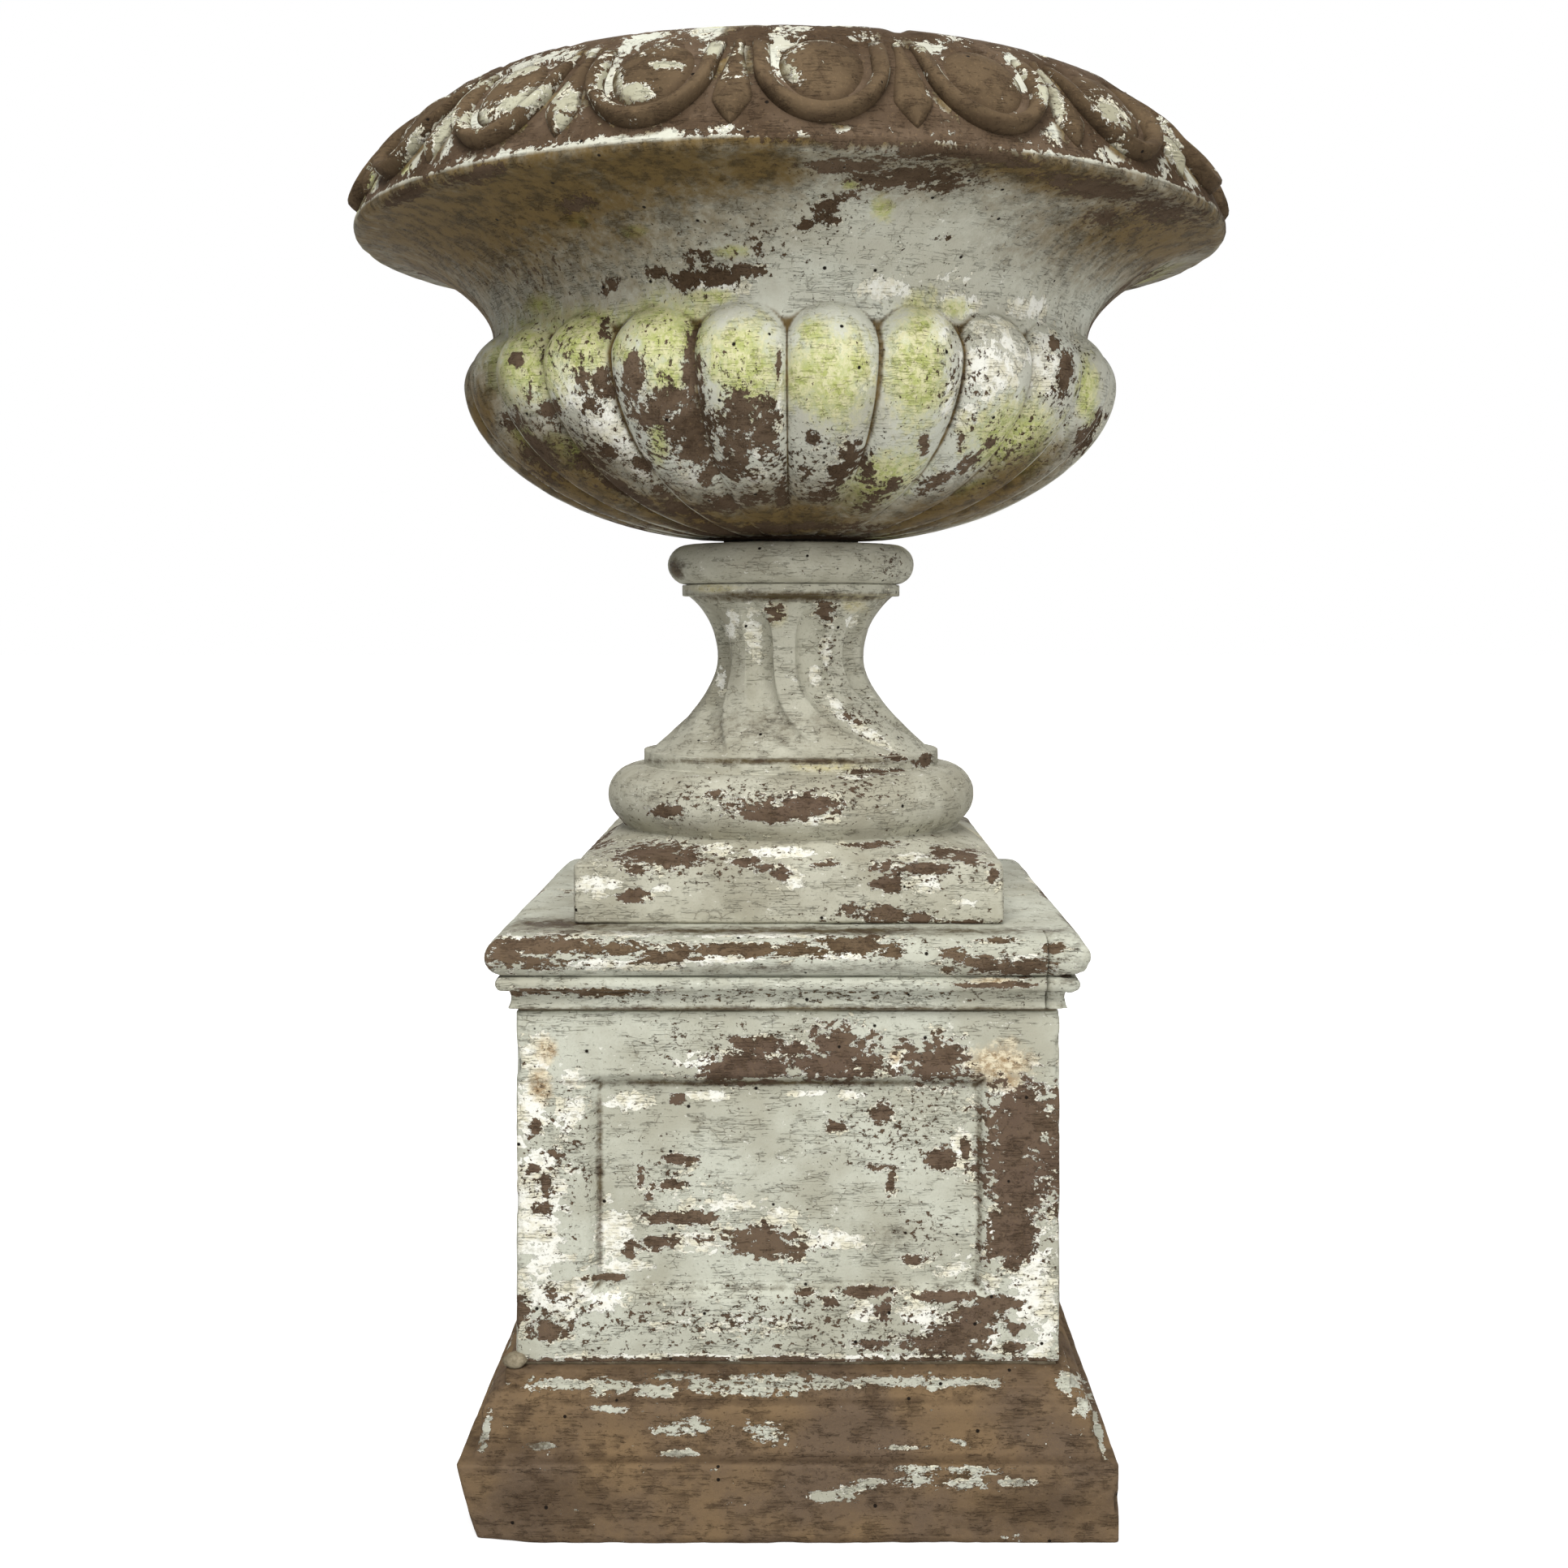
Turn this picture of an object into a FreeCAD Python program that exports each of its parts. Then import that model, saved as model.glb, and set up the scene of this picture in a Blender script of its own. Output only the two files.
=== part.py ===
import FreeCAD, Part
import os
from math import cos, pi, radians, sin, sqrt

V = FreeCAD.Vector

# Terracotta garden urn on a square pedestal. Millimetres, +Z up, the front looks to -Y.
# The origin is on the ground below the axis. Heights stack upwards from the base.

# Pedestal base
BASE_WIDTH = 536.0
BASE_BLOCK_HEIGHT = 63.0
OGEE_LEDGE = 11.0
OGEE_HEIGHT = 49.0
OGEE_RUN = 23.0
OGEE_TURN_SHARES = (0.3, 0.6)
OGEE_HOLLOW_BEND_SHARES = (0.75, 0.45)
OGEE_SWELL_BEND_SHARES = (0.4, 0.8)
BASE_TOP_HEIGHT = 14.0
BASE_FLANGE = 30.0

# Mortar beds, and the lump squeezed out at one corner
BED = 3.0
BED_SET_BACK = 3.0
LUMP_RADIUS = 11.0

# Pedestal die, with a recessed panel on each side
DIE_LEDGE = 8.2
DIE_HEIGHT = 291.0
DIE_WALL = 34.0
PANEL_SIDE = 64.0
PANEL_END = 58.0
PANEL_DEPTH = 8.0
PANEL_BEVEL = 11.0

# Square upstands that keep the pedestal pieces in line
REGISTER_HEIGHT = 10.0
REGISTER_WALL = 24.0
REGISTER_CLEAR = 3.0

# Pedestal cap
CAP_FASCIA_STEP = 6.45
CAP_FASCIA_HEIGHT = 16.0
CAP_FASCIA_HOLLOW = 2.5
CAP_FILLET_STEP = 9.25
CAP_FILLET_HEIGHT = 12.0
CAP_ROUND_STEP = 7.5
CAP_ROUND_HEIGHT = 34.0
CAP_HOLE_RADIUS = 45.0
CAP_CORNER = 36.0

# Socle
PLINTH_WIDTH = 367.4
PLINTH_HEIGHT = 50.0
PLINTH_EASE = 2.0
PLINTH_SLOPE = 17.0
PLINTH_LEDGE = 10.3
FOOT_TORUS_HEIGHT = 56.0
FOOT_FILLET_SET_BACK = 33.9
FOOT_FILLET_HEIGHT = 14.0
FOOT_FILLET_STEP = 8.0
WAIST_RADIUS = 70.0
WAIST_RISE = 88.0
WAIST_TOP_RISE = 56.0
WAIST_TOP_SPREAD = 27.0
FLARE_SOFTNESS = 0.91
NECK_FILLET_STEP = 6.5
NECK_FILLET_HEIGHT = 11.0
NECK_TORUS_STEP = 13.6
NECK_TORUS_HEIGHT = 38.0
SOCLE_WALL = 24.0
SOCLE_THROAT_SHARE = 0.55
SOCKET_RADIUS = 31.0

# Twisted flutes round the waist of the socle
FLUTES = 9
FLUTE_DEPTH = 5.5
FLUTE_ROUNDNESS = 0.21
FLUTE_TWIST = 36.0
FLUTE_FIRST = -24.5
FLUTE_TOP_SHARE = 0.85
FLUTE_RUN_OUT = 1.5
FLUTE_RING_SHARES = (0.0, 0.08, 0.2, 0.36, 0.54, 0.72, 0.86, 0.95, 1.0)

# Packing ring under the bowl
RING_HEIGHT = 3.5
RING_RADIUS = 64.0
RING_CLEAR = 3.0

# Bowl
BOSS_HEIGHT = 2.5
BOSS_LIP = 2.0
SPIGOT_CLEAR = 3.0
SPIGOT_DEPTH = 16.0
DRAIN_RADIUS = 14.0
BELLY_RADIUS = 306.3
BELLY_RISE = 139.0
BELLY_FLAT = 5.0
BELLY_SQUARENESS = 1.8
BELLY_FULLNESS = 0.42
GADROONS = 24
GADROON_DEPTH = 15.0
HEAD_RISE = 48.0
HEAD_DROP = 60.0
HEAD_GROOVE_SHARE = 2.2
HEAD_TOP_SHARE = 0.9
GADROON_RING_SHARES = (0.0, 0.03, 0.1, 0.21, 0.36, 0.56, 0.76, 0.88, 0.95, 1.0)
NECK_BURIED_SHARE = 0.2
NECK_SET_BACK = 26.7
NECK_RISE = 46.0
CAVETTO_HEIGHT = 84.0
CAVETTO_SQUARENESS = 1.6
CAVETTO_FULLNESS = 0.65
LIP_RADIUS = 404.5
LIP_HEIGHT = 14.0
LIP_NOSE_SHARE = 0.55
LIP_ROLL = 8.5
LIP_STEP = 2.5
BAND_HEIGHT = 100.0
BAND_LEAN = 73.0
BAND_SWELL = 8.0
RIM_FILLET = 27.0
RIM_FILLET_RELIEF = 3.0
RIM_ROUND = 4.0
RIM_WIDTH = 29.0
BOWL_WALL = 27.0
INNER_LIP_WALL = 32.0
INNER_LIP_RISE = 6.0
INNER_FLOOR_SHARE = 0.25
INNER_BELLY_SHARES = ((0.5, 0.06), (0.77, 0.3), (0.94, 0.65), (1.0, 1.0))
INNER_FLARE_SHARES = ((0.0, 0.0), (0.06, 0.28), (0.28, 0.6), (0.62, 0.85), (1.0, 1.0))

# Egg-and-dart sprigs on the rim band, laid out up the slope of the band
SPRIGS = 18
FIRST_EGG = 4.2
EGG_FOOT = 22.0
EGG_LAP = 5.2
EGG_GAP = 0.5
EGG_RELIEF = 15.0
FRAME_FOOT = 6.0
FRAME_SPACING = 13.3
FRAME_WIDTH = 13.0
FRAME_SOFTNESS = 4.0
CROWN_RELIEF = 16.0
CROWN_UP_BAND = 38.0
CROWN_RADIUS = 148.0
DART_HALF_WIDTH = 15.5
DART_RELIEF = 14.0
DART_TIP_UP_BAND = 6.0
DART_SHOULDER_SHARE = 0.22
DART_STEM_SHARES = (0.5, 0.55)
DART_TOP_SHARE = 0.25
DART_BEVEL_SHARE = 0.5
SPRIG_SINK = 8.0

# Levels worked out from the heights
Z_BLOCK = BASE_BLOCK_HEIGHT
Z_OGEE = Z_BLOCK + OGEE_HEIGHT
Z_BASE = Z_OGEE + BASE_TOP_HEIGHT
Z_DIE = Z_BASE + BED
Z_DIE_TOP = Z_DIE + DIE_HEIGHT
Z_CAP = Z_DIE_TOP + BED
Z_FASCIA = Z_CAP + CAP_FASCIA_HEIGHT
Z_CAP_FILLET = Z_FASCIA + CAP_FILLET_HEIGHT
Z_CAP_TOP = Z_CAP_FILLET + CAP_ROUND_HEIGHT
Z_PLINTH = Z_CAP_TOP + PLINTH_HEIGHT
Z_SLOPE = Z_PLINTH + PLINTH_SLOPE
Z_FOOT_TORUS = Z_SLOPE + FOOT_TORUS_HEIGHT
Z_FOOT_FILLET = Z_FOOT_TORUS + FOOT_FILLET_HEIGHT
Z_WAIST = Z_FOOT_FILLET + WAIST_RISE
Z_WAIST_TOP = Z_WAIST + WAIST_TOP_RISE
Z_NECK_FILLET = Z_WAIST_TOP + NECK_FILLET_HEIGHT
Z_SOCLE = Z_NECK_FILLET + NECK_TORUS_HEIGHT
Z_SEAT = Z_SOCLE + RING_HEIGHT
Z_BOWL = Z_SEAT + BOSS_HEIGHT
Z_BELLY = Z_BOWL + BELLY_RISE
Z_NECK = Z_BELLY + NECK_RISE
Z_LIP = Z_NECK + CAVETTO_HEIGHT
Z_BAND = Z_LIP + LIP_HEIGHT
Z_BAND_TOP = Z_BAND + BAND_HEIGHT
Z_RIM = Z_BAND_TOP + RIM_ROUND

# Widths and radii worked out from the steps between the pieces
BASE_TOP_WIDTH = BASE_WIDTH - 2 * (OGEE_LEDGE + OGEE_RUN)
DIE_WIDTH = BASE_TOP_WIDTH - 2 * DIE_LEDGE
DIE_HOLLOW = DIE_WIDTH - 2 * DIE_WALL
REGISTER_WIDTH = DIE_HOLLOW - 2 * REGISTER_CLEAR
CAP_FASCIA_WIDTH = DIE_WIDTH + 2 * CAP_FASCIA_STEP
CAP_FILLET_WIDTH = CAP_FASCIA_WIDTH + 2 * CAP_FILLET_STEP
CAP_ROUND_WIDTH = CAP_FILLET_WIDTH + 2 * CAP_ROUND_STEP
FOOT_TORUS_RADIUS = PLINTH_WIDTH / 2 - PLINTH_LEDGE
FOOT_FILLET_RADIUS = FOOT_TORUS_RADIUS - FOOT_FILLET_SET_BACK
FOOT_FLARE_RADIUS = FOOT_FILLET_RADIUS - FOOT_FILLET_STEP
WAIST_TOP_RADIUS = WAIST_RADIUS + WAIST_TOP_SPREAD
NECK_FILLET_RADIUS = WAIST_TOP_RADIUS + NECK_FILLET_STEP
NECK_TORUS_RADIUS = NECK_FILLET_RADIUS + NECK_TORUS_STEP
SPIGOT_RADIUS = SOCKET_RADIUS - SPIGOT_CLEAR
NECK_RADIUS = BELLY_RADIUS - NECK_SET_BACK
CAVETTO_LIP_RADIUS = LIP_RADIUS - LIP_ROLL
BAND_FOOT_RADIUS = LIP_RADIUS - LIP_STEP
BAND_TOP_RADIUS = BAND_FOOT_RADIUS - BAND_LEAN
MOUTH_RADIUS = BAND_TOP_RADIUS - RIM_WIDTH

# The sprigs fill the band between its foot and its top fillet, and share its girth
BAND_LENGTH = sqrt(BAND_LEAN ** 2 + BAND_HEIGHT ** 2)
BAND_PLAIN = BAND_LENGTH - RIM_FILLET
EGG_HALF_LENGTH = (BAND_PLAIN + EGG_LAP - EGG_FOOT) / 2
EGG_UP_BAND = EGG_FOOT + EGG_HALF_LENGTH
EGG_GIRTH_RADIUS = BAND_FOOT_RADIUS - BAND_LEAN * EGG_UP_BAND / BAND_LENGTH
FRAME_HALF_WIDTH = pi * EGG_GIRTH_RADIUS / SPRIGS - FRAME_SPACING
FRAME_HALF_LENGTH = EGG_UP_BAND - FRAME_FOOT
EGG_HALF_WIDTH = FRAME_HALF_WIDTH - FRAME_WIDTH - EGG_GAP

AXIS = V(0, 0, 1)
ORIGIN = V(0, 0, 0)
FULL_TURN = 360.0
QUARTER_TURN = FULL_TURN / 4
OVERCUT = 1.0
CURVE_STEPS = 8


class Outline:
    """A chain of edges in the XZ plane, through points (distance from the axis, height)."""

    def __init__(self, r, z):
        self.first = (r, z)
        self.last = (r, z)
        self.edges = []

    @staticmethod
    def point(place):
        return V(place[0], 0, place[1])

    def line(self, r, z):
        ends = self.point(self.last), self.point((r, z))
        self.edges.append(Part.LineSegment(*ends).toShape())
        self.last = (r, z)
        return self

    def arc(self, middle, end):
        points = [self.point(p) for p in (self.last, middle, end)]
        self.edges.append(Part.Arc(*points).toShape())
        self.last = end
        return self

    def curve(self, places):
        spline = Part.BSplineCurve()
        spline.interpolate([self.point(p) for p in [self.last] + places])
        self.edges.append(spline.toShape())
        self.last = places[-1]
        return self

    def revolved(self):
        self.line(*self.first)
        return Part.Face(Part.Wire(self.edges)).revolve(ORIGIN, AXIS, FULL_TURN)

    def squared(self):
        """A square moulding with mitred corners, with this outline on all four sides."""
        mirrored = [e.mirror(ORIGIN, V(1, 0, 0)) for e in self.edges]
        foot, head = self.first, self.last
        across = [Outline(-foot[0], foot[1]).line(*foot), Outline(-head[0], head[1]).line(*head)]
        loose = self.edges + mirrored + [edge for chain in across for edge in chain.edges]
        face = Part.Face(Part.Wire(Part.__sortEdges__(loose)))
        reach = 2 * BASE_WIDTH
        bar = face.extrude(V(0, 2 * reach, 0))
        bar.translate(V(0, -reach, 0))
        return bar.common(turned(bar, QUARTER_TURN))


def turned(shape, angle):
    copy = shape.copy()
    copy.rotate(ORIGIN, AXIS, angle)
    return copy


def block(width, low, high):
    """A square block about the axis."""
    return Part.makeBox(width, width, high - low, V(-width / 2, -width / 2, low))


def drum(radius, low, high):
    return Part.makeCylinder(radius, high - low, V(0, 0, low))


def polar(radius, azimuth, z):
    """A point at an azimuth in degrees, from the front towards +X."""
    turn = radians(azimuth)
    return V(radius * sin(turn), -radius * cos(turn), z)


def between(low, high, share):
    return low + (high - low) * share


def part_way(start, end, shares):
    """A point between two points of an outline, by its share of the run and of the rise."""
    return (between(start[0], end[0], shares[0]), between(start[1], end[1], shares[1]))


def pedestal_base():
    """Base block, ogee and top fillet, hollow and open below, with an upstand inside the die."""
    half = BASE_WIDTH / 2
    top = BASE_TOP_WIDTH / 2
    foot = half - OGEE_LEDGE
    start, end = (foot, Z_BLOCK), (top, Z_OGEE)
    turn = part_way(start, end, OGEE_TURN_SHARES)
    outline = Outline(half, 0).line(half, Z_BLOCK).line(*start)
    outline.arc(part_way(start, turn, OGEE_HOLLOW_BEND_SHARES), turn)
    outline.arc(part_way(turn, end, OGEE_SWELL_BEND_SHARES), end).line(top, Z_BASE)
    solid = outline.squared()
    upstand = block(REGISTER_WIDTH, Z_OGEE, Z_BASE + REGISTER_HEIGHT)
    hollow = block(REGISTER_WIDTH - 2 * REGISTER_WALL, -OVERCUT, Z_BASE + 2 * REGISTER_HEIGHT)
    cellar = block(BASE_TOP_WIDTH - 2 * DIE_WALL, -OVERCUT, Z_BASE - BASE_FLANGE)
    return solid.fuse(upstand).cut(hollow).cut(cellar).removeSplitter()


def pedestal_die():
    """Hollow square box, open at both ends, with a bevelled panel sunk in each side."""
    hollow = block(DIE_HOLLOW, Z_DIE - OVERCUT, Z_DIE_TOP + OVERCUT)
    solid = block(DIE_WIDTH, Z_DIE, Z_DIE_TOP).cut(hollow)
    middle = (Z_DIE + Z_DIE_TOP) / 2
    half_wide = DIE_WIDTH / 2 - PANEL_SIDE
    half_high = DIE_HEIGHT / 2 - PANEL_END
    rings = []
    for step in (-1.0, 1.0):
        y = -DIE_WIDTH / 2 + step * PANEL_DEPTH
        wide = half_wide - step * PANEL_BEVEL
        high = half_high - step * PANEL_BEVEL
        corners = [(-wide, -high), (wide, -high), (wide, high), (-wide, high), (-wide, -high)]
        rings.append(Part.makePolygon([V(x, y, middle + z) for x, z in corners]))
    sunk = Part.makeLoft(rings, True, True)
    for side in range(4):
        solid = solid.cut(turned(sunk, side * QUARTER_TURN))
    return solid


def whole_cap():
    """Cap slab with a hollow fascia, a fillet and a half-round edge, before its corner broke."""
    fascia = CAP_FASCIA_WIDTH / 2
    fillet = CAP_FILLET_WIDTH / 2
    edge = CAP_ROUND_WIDTH / 2
    nose = CAP_ROUND_HEIGHT / 2
    hollow_bend = (fascia - CAP_FASCIA_HOLLOW, (Z_CAP + Z_FASCIA) / 2)
    fillet_bend = (fillet, (Z_FASCIA + Z_CAP_FILLET) / 2)
    fillet_back = fillet - CAP_FILLET_HEIGHT / 4
    outline = Outline(fascia, Z_CAP).arc(hollow_bend, (fascia, Z_FASCIA)).line(fillet_back, Z_FASCIA)
    outline.arc(fillet_bend, (fillet_back, Z_CAP_FILLET)).line(edge - nose, Z_CAP_FILLET)
    outline.arc((edge, Z_CAP_FILLET + nose), (edge - nose, Z_CAP_TOP))
    solid = outline.squared()
    register = block(REGISTER_WIDTH, Z_CAP - REGISTER_HEIGHT, Z_FASCIA)
    relief = block(REGISTER_WIDTH - 2 * REGISTER_WALL, Z_CAP - 2 * REGISTER_HEIGHT, Z_FASCIA)
    hole = drum(CAP_HOLE_RADIUS, Z_CAP - REGISTER_HEIGHT, Z_CAP_TOP + OVERCUT)
    return solid.fuse(register).cut(relief).cut(hole).removeSplitter()


def corner_box():
    """The space of the broken corner of the cap, front right."""
    edge = CAP_ROUND_WIDTH / 2 - CAP_CORNER
    size = 2 * CAP_CORNER
    high = Z_CAP_TOP - Z_CAP + 2 * OVERCUT
    return Part.makeBox(size, size, high, V(edge, -edge - size, Z_CAP - OVERCUT))


def bed(low, high):
    """A thin mortar bed under or over the wall of the die."""
    outside = block(DIE_WIDTH - 2 * BED_SET_BACK, low, high)
    return outside.cut(block(DIE_HOLLOW, low - OVERCUT, high + OVERCUT))


def base_bed(base, die):
    """Lower bed, with the lump of mortar left at its front left corner."""
    place = DIE_WIDTH / 2 + BED_SET_BACK
    lump = Part.makeSphere(LUMP_RADIUS, V(-place, -place, Z_DIE))
    return bed(Z_BASE, Z_DIE).fuse(lump.cut(base).cut(die)).removeSplitter()


def flare_radius(z):
    """Radius of the socle between its lower fillet and its waist: a hyperbola."""
    soft = FLARE_SOFTNESS * WAIST_RISE
    fall = sqrt((Z_WAIST - z) ** 2 + soft ** 2) - soft
    whole = sqrt(WAIST_RISE ** 2 + soft ** 2) - soft
    return between(WAIST_RADIUS, FOOT_FLARE_RADIUS, fall / whole)


def throat_radius(z):
    """Radius of the socle between its waist and its upper fillet: a circular arc."""
    bend = (WAIST_TOP_RISE ** 2 + WAIST_TOP_SPREAD ** 2) / (2 * WAIST_TOP_SPREAD)
    return WAIST_RADIUS + bend - sqrt(bend ** 2 - (z - Z_WAIST) ** 2)


def waist_radius(z):
    return flare_radius(z) if z < Z_WAIST else throat_radius(z)


def levels(low, high, steps):
    return [between(low, high, step / steps) for step in range(steps + 1)]


def socle_body():
    """Round part of the socle: foot torus, fillet, waist, fillet and neck torus."""
    foot = FOOT_TORUS_HEIGHT / 2
    foot_core = FOOT_TORUS_RADIUS - foot
    neck = NECK_TORUS_HEIGHT / 2
    neck_core = NECK_TORUS_RADIUS - neck
    flare = [(flare_radius(z), z) for z in levels(Z_FOOT_FILLET, Z_WAIST, CURVE_STEPS)]
    outline = Outline(0, Z_PLINTH).line(foot_core, Z_PLINTH).line(foot_core, Z_SLOPE)
    outline.arc((FOOT_TORUS_RADIUS, Z_SLOPE + foot), (foot_core, Z_FOOT_TORUS))
    outline.line(FOOT_FILLET_RADIUS, Z_FOOT_TORUS).line(FOOT_FILLET_RADIUS, Z_FOOT_FILLET)
    outline.line(*flare[0]).curve(flare[1:])
    halfway = (Z_WAIST + Z_WAIST_TOP) / 2
    outline.arc((throat_radius(halfway), halfway), (WAIST_TOP_RADIUS, Z_WAIST_TOP))
    outline.line(NECK_FILLET_RADIUS, Z_WAIST_TOP).line(NECK_FILLET_RADIUS, Z_NECK_FILLET)
    outline.line(neck_core, Z_NECK_FILLET)
    outline.arc((NECK_TORUS_RADIUS, Z_NECK_FILLET + neck), (neck_core, Z_SOCLE))
    return outline.line(0, Z_SOCLE).revolved()


def flute_cutter():
    """A round gouge that runs down the waist and swings to +X as the foot flares out."""
    low = Z_FOOT_FILLET - 2 * OVERCUT
    high = Z_WAIST + FLUTE_TOP_SHARE * WAIST_TOP_RISE
    rings = []
    for share in FLUTE_RING_SHARES:
        z = between(low, high, share)
        run_out = 1 - abs(2 * share - 1) ** 6
        radius = waist_radius(max(z, Z_FOOT_FILLET))
        gouge = FLUTE_ROUNDNESS * radius
        depth = between(-FLUTE_RUN_OUT, FLUTE_DEPTH, run_out)
        below = max(0.0, (Z_WAIST - z) / WAIST_RISE)
        azimuth = FLUTE_FIRST + FLUTE_TWIST * below ** 2
        centre = polar(radius + gouge - depth, azimuth, z)
        rings.append(Part.Wire(Part.Circle(centre, AXIS, gouge).toShape()))
    return Part.makeLoft(rings, True, False)


def plinth():
    """Square plinth with an eased lower arris and a top that slopes up to the foot torus."""
    solid = block(PLINTH_WIDTH, Z_CAP_TOP + PLINTH_EASE, Z_PLINTH)
    solid = solid.fuse(block(PLINTH_WIDTH - 4 * PLINTH_EASE, Z_CAP_TOP, Z_PLINTH))
    half = PLINTH_WIDTH / 2
    ring = FOOT_TORUS_RADIUS - FOOT_TORUS_HEIGHT / 4
    corner = sqrt(2) * half
    square, circle = [], []
    for side in range(4):
        turns = [(side + step / 2) * QUARTER_TURN - QUARTER_TURN / 2 for step in range(3)]
        ends = [polar(corner, turn, Z_PLINTH) for turn in (turns[0], turns[2])]
        square.append(Part.LineSegment(*ends).toShape())
        bends = [polar(ring, turn, Z_SLOPE) for turn in turns]
        circle.append(Part.Arc(*bends).toShape())
    slope = Part.makeLoft([Part.Wire(square), Part.Wire(circle)], True, True)
    return solid.fuse(slope)


def socle():
    """Hollow casting: plinth, mouldings and nine twisted flutes, with a socket on top."""
    body = socle_body()
    gouge = flute_cutter()
    for step in range(FLUTES):
        body = body.cut(turned(gouge, step * FULL_TURN / FLUTES))
    wide = PLINTH_WIDTH / 2 - SOCLE_WALL - PLINTH_SLOPE
    narrow = WAIST_RADIUS - FLUTE_DEPTH - SOCLE_WALL
    foot = Z_CAP_TOP - OVERCUT
    hollow = Outline(0, foot).line(wide, foot).line(wide, Z_SLOPE)
    hollow.line(FOOT_FLARE_RADIUS - SOCLE_WALL, Z_FOOT_TORUS - SOCLE_WALL)
    hollow.line(narrow, between(Z_FOOT_FILLET, Z_WAIST, SOCLE_THROAT_SHARE))
    hollow.line(narrow, Z_WAIST_TOP - SOCLE_WALL / 2).line(0, Z_WAIST_TOP)
    socket = drum(SOCKET_RADIUS, Z_WAIST, Z_SOCLE + OVERCUT)
    return plinth().fuse(body).cut(hollow.revolved()).cut(socket).removeSplitter()


def seat_ring():
    """Packing ring between the socle and the foot of the bowl."""
    ring = drum(RING_RADIUS, Z_SOCLE, Z_SEAT)
    return ring.cut(drum(SOCKET_RADIUS + RING_CLEAR, Z_SOCLE - OVERCUT, Z_SEAT + OVERCUT))


def crest_radius(z):
    """Radius along the crest of a gadroon."""
    if z < Z_BELLY:
        fall = (Z_BELLY - z) / (BELLY_RISE + BELLY_FLAT)
        return BELLY_RADIUS * (1 - fall ** BELLY_SQUARENESS) ** BELLY_FULLNESS
    rise = (z - Z_BELLY) / HEAD_RISE
    return BELLY_RADIUS - HEAD_DROP * (1 - sqrt(1 - rise ** 2))


def groove_radius(z):
    """Radius along the groove between two gadroons: it dives under the neck at the heads."""
    rise = max(0.0, (z - Z_BELLY) / HEAD_RISE)
    crest = crest_radius(z)
    return crest - GADROON_DEPTH * (crest / BELLY_RADIUS) * (1 + HEAD_GROOVE_SHARE * rise ** 2)


def gadrooned_belly():
    """Belly of the bowl, a loft through rings of round lobes."""
    pitch = FULL_TURN / GADROONS
    head = Z_BELLY + HEAD_TOP_SHARE * HEAD_RISE
    rings = []
    for z in [between(Z_BOWL, head, share) for share in GADROON_RING_SHARES]:
        crest, groove = crest_radius(z), groove_radius(z)
        lobes = []
        for step in range(GADROONS):
            start = step * pitch
            bends = [polar(groove, start, z), polar(crest, start + pitch / 2, z)]
            bends.append(polar(groove, start + pitch, z))
            lobes.append(Part.Arc(*bends).toShape())
        rings.append(Part.Wire(lobes))
    return Part.makeLoft(rings, True, False)


def cavetto_radius(z):
    """Radius of the hollow moulding between the neck and the lip."""
    rise = (z - Z_NECK) / CAVETTO_HEIGHT
    open_share = max(0.0, 1 - rise ** CAVETTO_SQUARENESS) ** CAVETTO_FULLNESS
    return between(CAVETTO_LIP_RADIUS, NECK_RADIUS, open_share)


def band_point(up, out):
    """A point of the rim band: up its slope from its foot, and out from its chord."""
    run = V(BAND_TOP_RADIUS - BAND_FOOT_RADIUS, 0, BAND_HEIGHT)
    run.normalize()
    return (
        BAND_FOOT_RADIUS + up * run.x + out * run.z,
        Z_BAND + up * run.z - out * run.x,
    )


def rim_body():
    """Solid of the neck, cavetto, lip and rim band, before the bowl is hollowed."""
    buried = Z_BELLY + NECK_BURIED_SHARE * HEAD_RISE
    hollow = [(cavetto_radius(z), z) for z in levels(Z_NECK, Z_LIP, CURVE_STEPS)]
    plain = BAND_PLAIN
    outline = Outline(0, buried).line(NECK_RADIUS, buried).line(*hollow[0]).curve(hollow[1:])
    outline.arc((LIP_RADIUS, between(Z_LIP, Z_BAND, LIP_NOSE_SHARE)), (BAND_FOOT_RADIUS, Z_BAND))
    outline.arc(band_point(plain / 2, BAND_SWELL), band_point(plain, BAND_SWELL / 2))
    outline.line(*band_point(plain + RIM_FILLET_RELIEF, BAND_SWELL / 2 + RIM_FILLET_RELIEF))
    outline.line(BAND_TOP_RADIUS, Z_BAND_TOP).line(BAND_TOP_RADIUS - 2 * RIM_ROUND, Z_RIM)
    return outline.line(0, Z_RIM).revolved()


def bowl_hollow():
    """Inside of the bowl: it follows the belly, the neck, the flare and the rim."""
    floor = Z_BOWL + BOWL_WALL
    inner_belly = BELLY_RADIUS - GADROON_DEPTH - BOWL_WALL
    inner_neck = NECK_RADIUS - BOWL_WALL
    inner_lip = BAND_FOOT_RADIUS - INNER_LIP_WALL
    shelf = Z_BAND + INNER_LIP_RISE
    belly = [part_way((0, floor), (inner_belly, Z_BELLY), shares) for shares in INNER_BELLY_SHARES]
    flare = [part_way((inner_neck, Z_NECK), (inner_lip, shelf), shares) for shares in INNER_FLARE_SHARES]
    outline = Outline(0, floor).line(INNER_FLOOR_SHARE * inner_belly, floor).curve(belly + flare)
    outline.line(MOUTH_RADIUS, Z_BAND_TOP - BOWL_WALL / 2).line(MOUTH_RADIUS, Z_RIM + OVERCUT)
    return outline.line(0, Z_RIM + OVERCUT).revolved()


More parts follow.
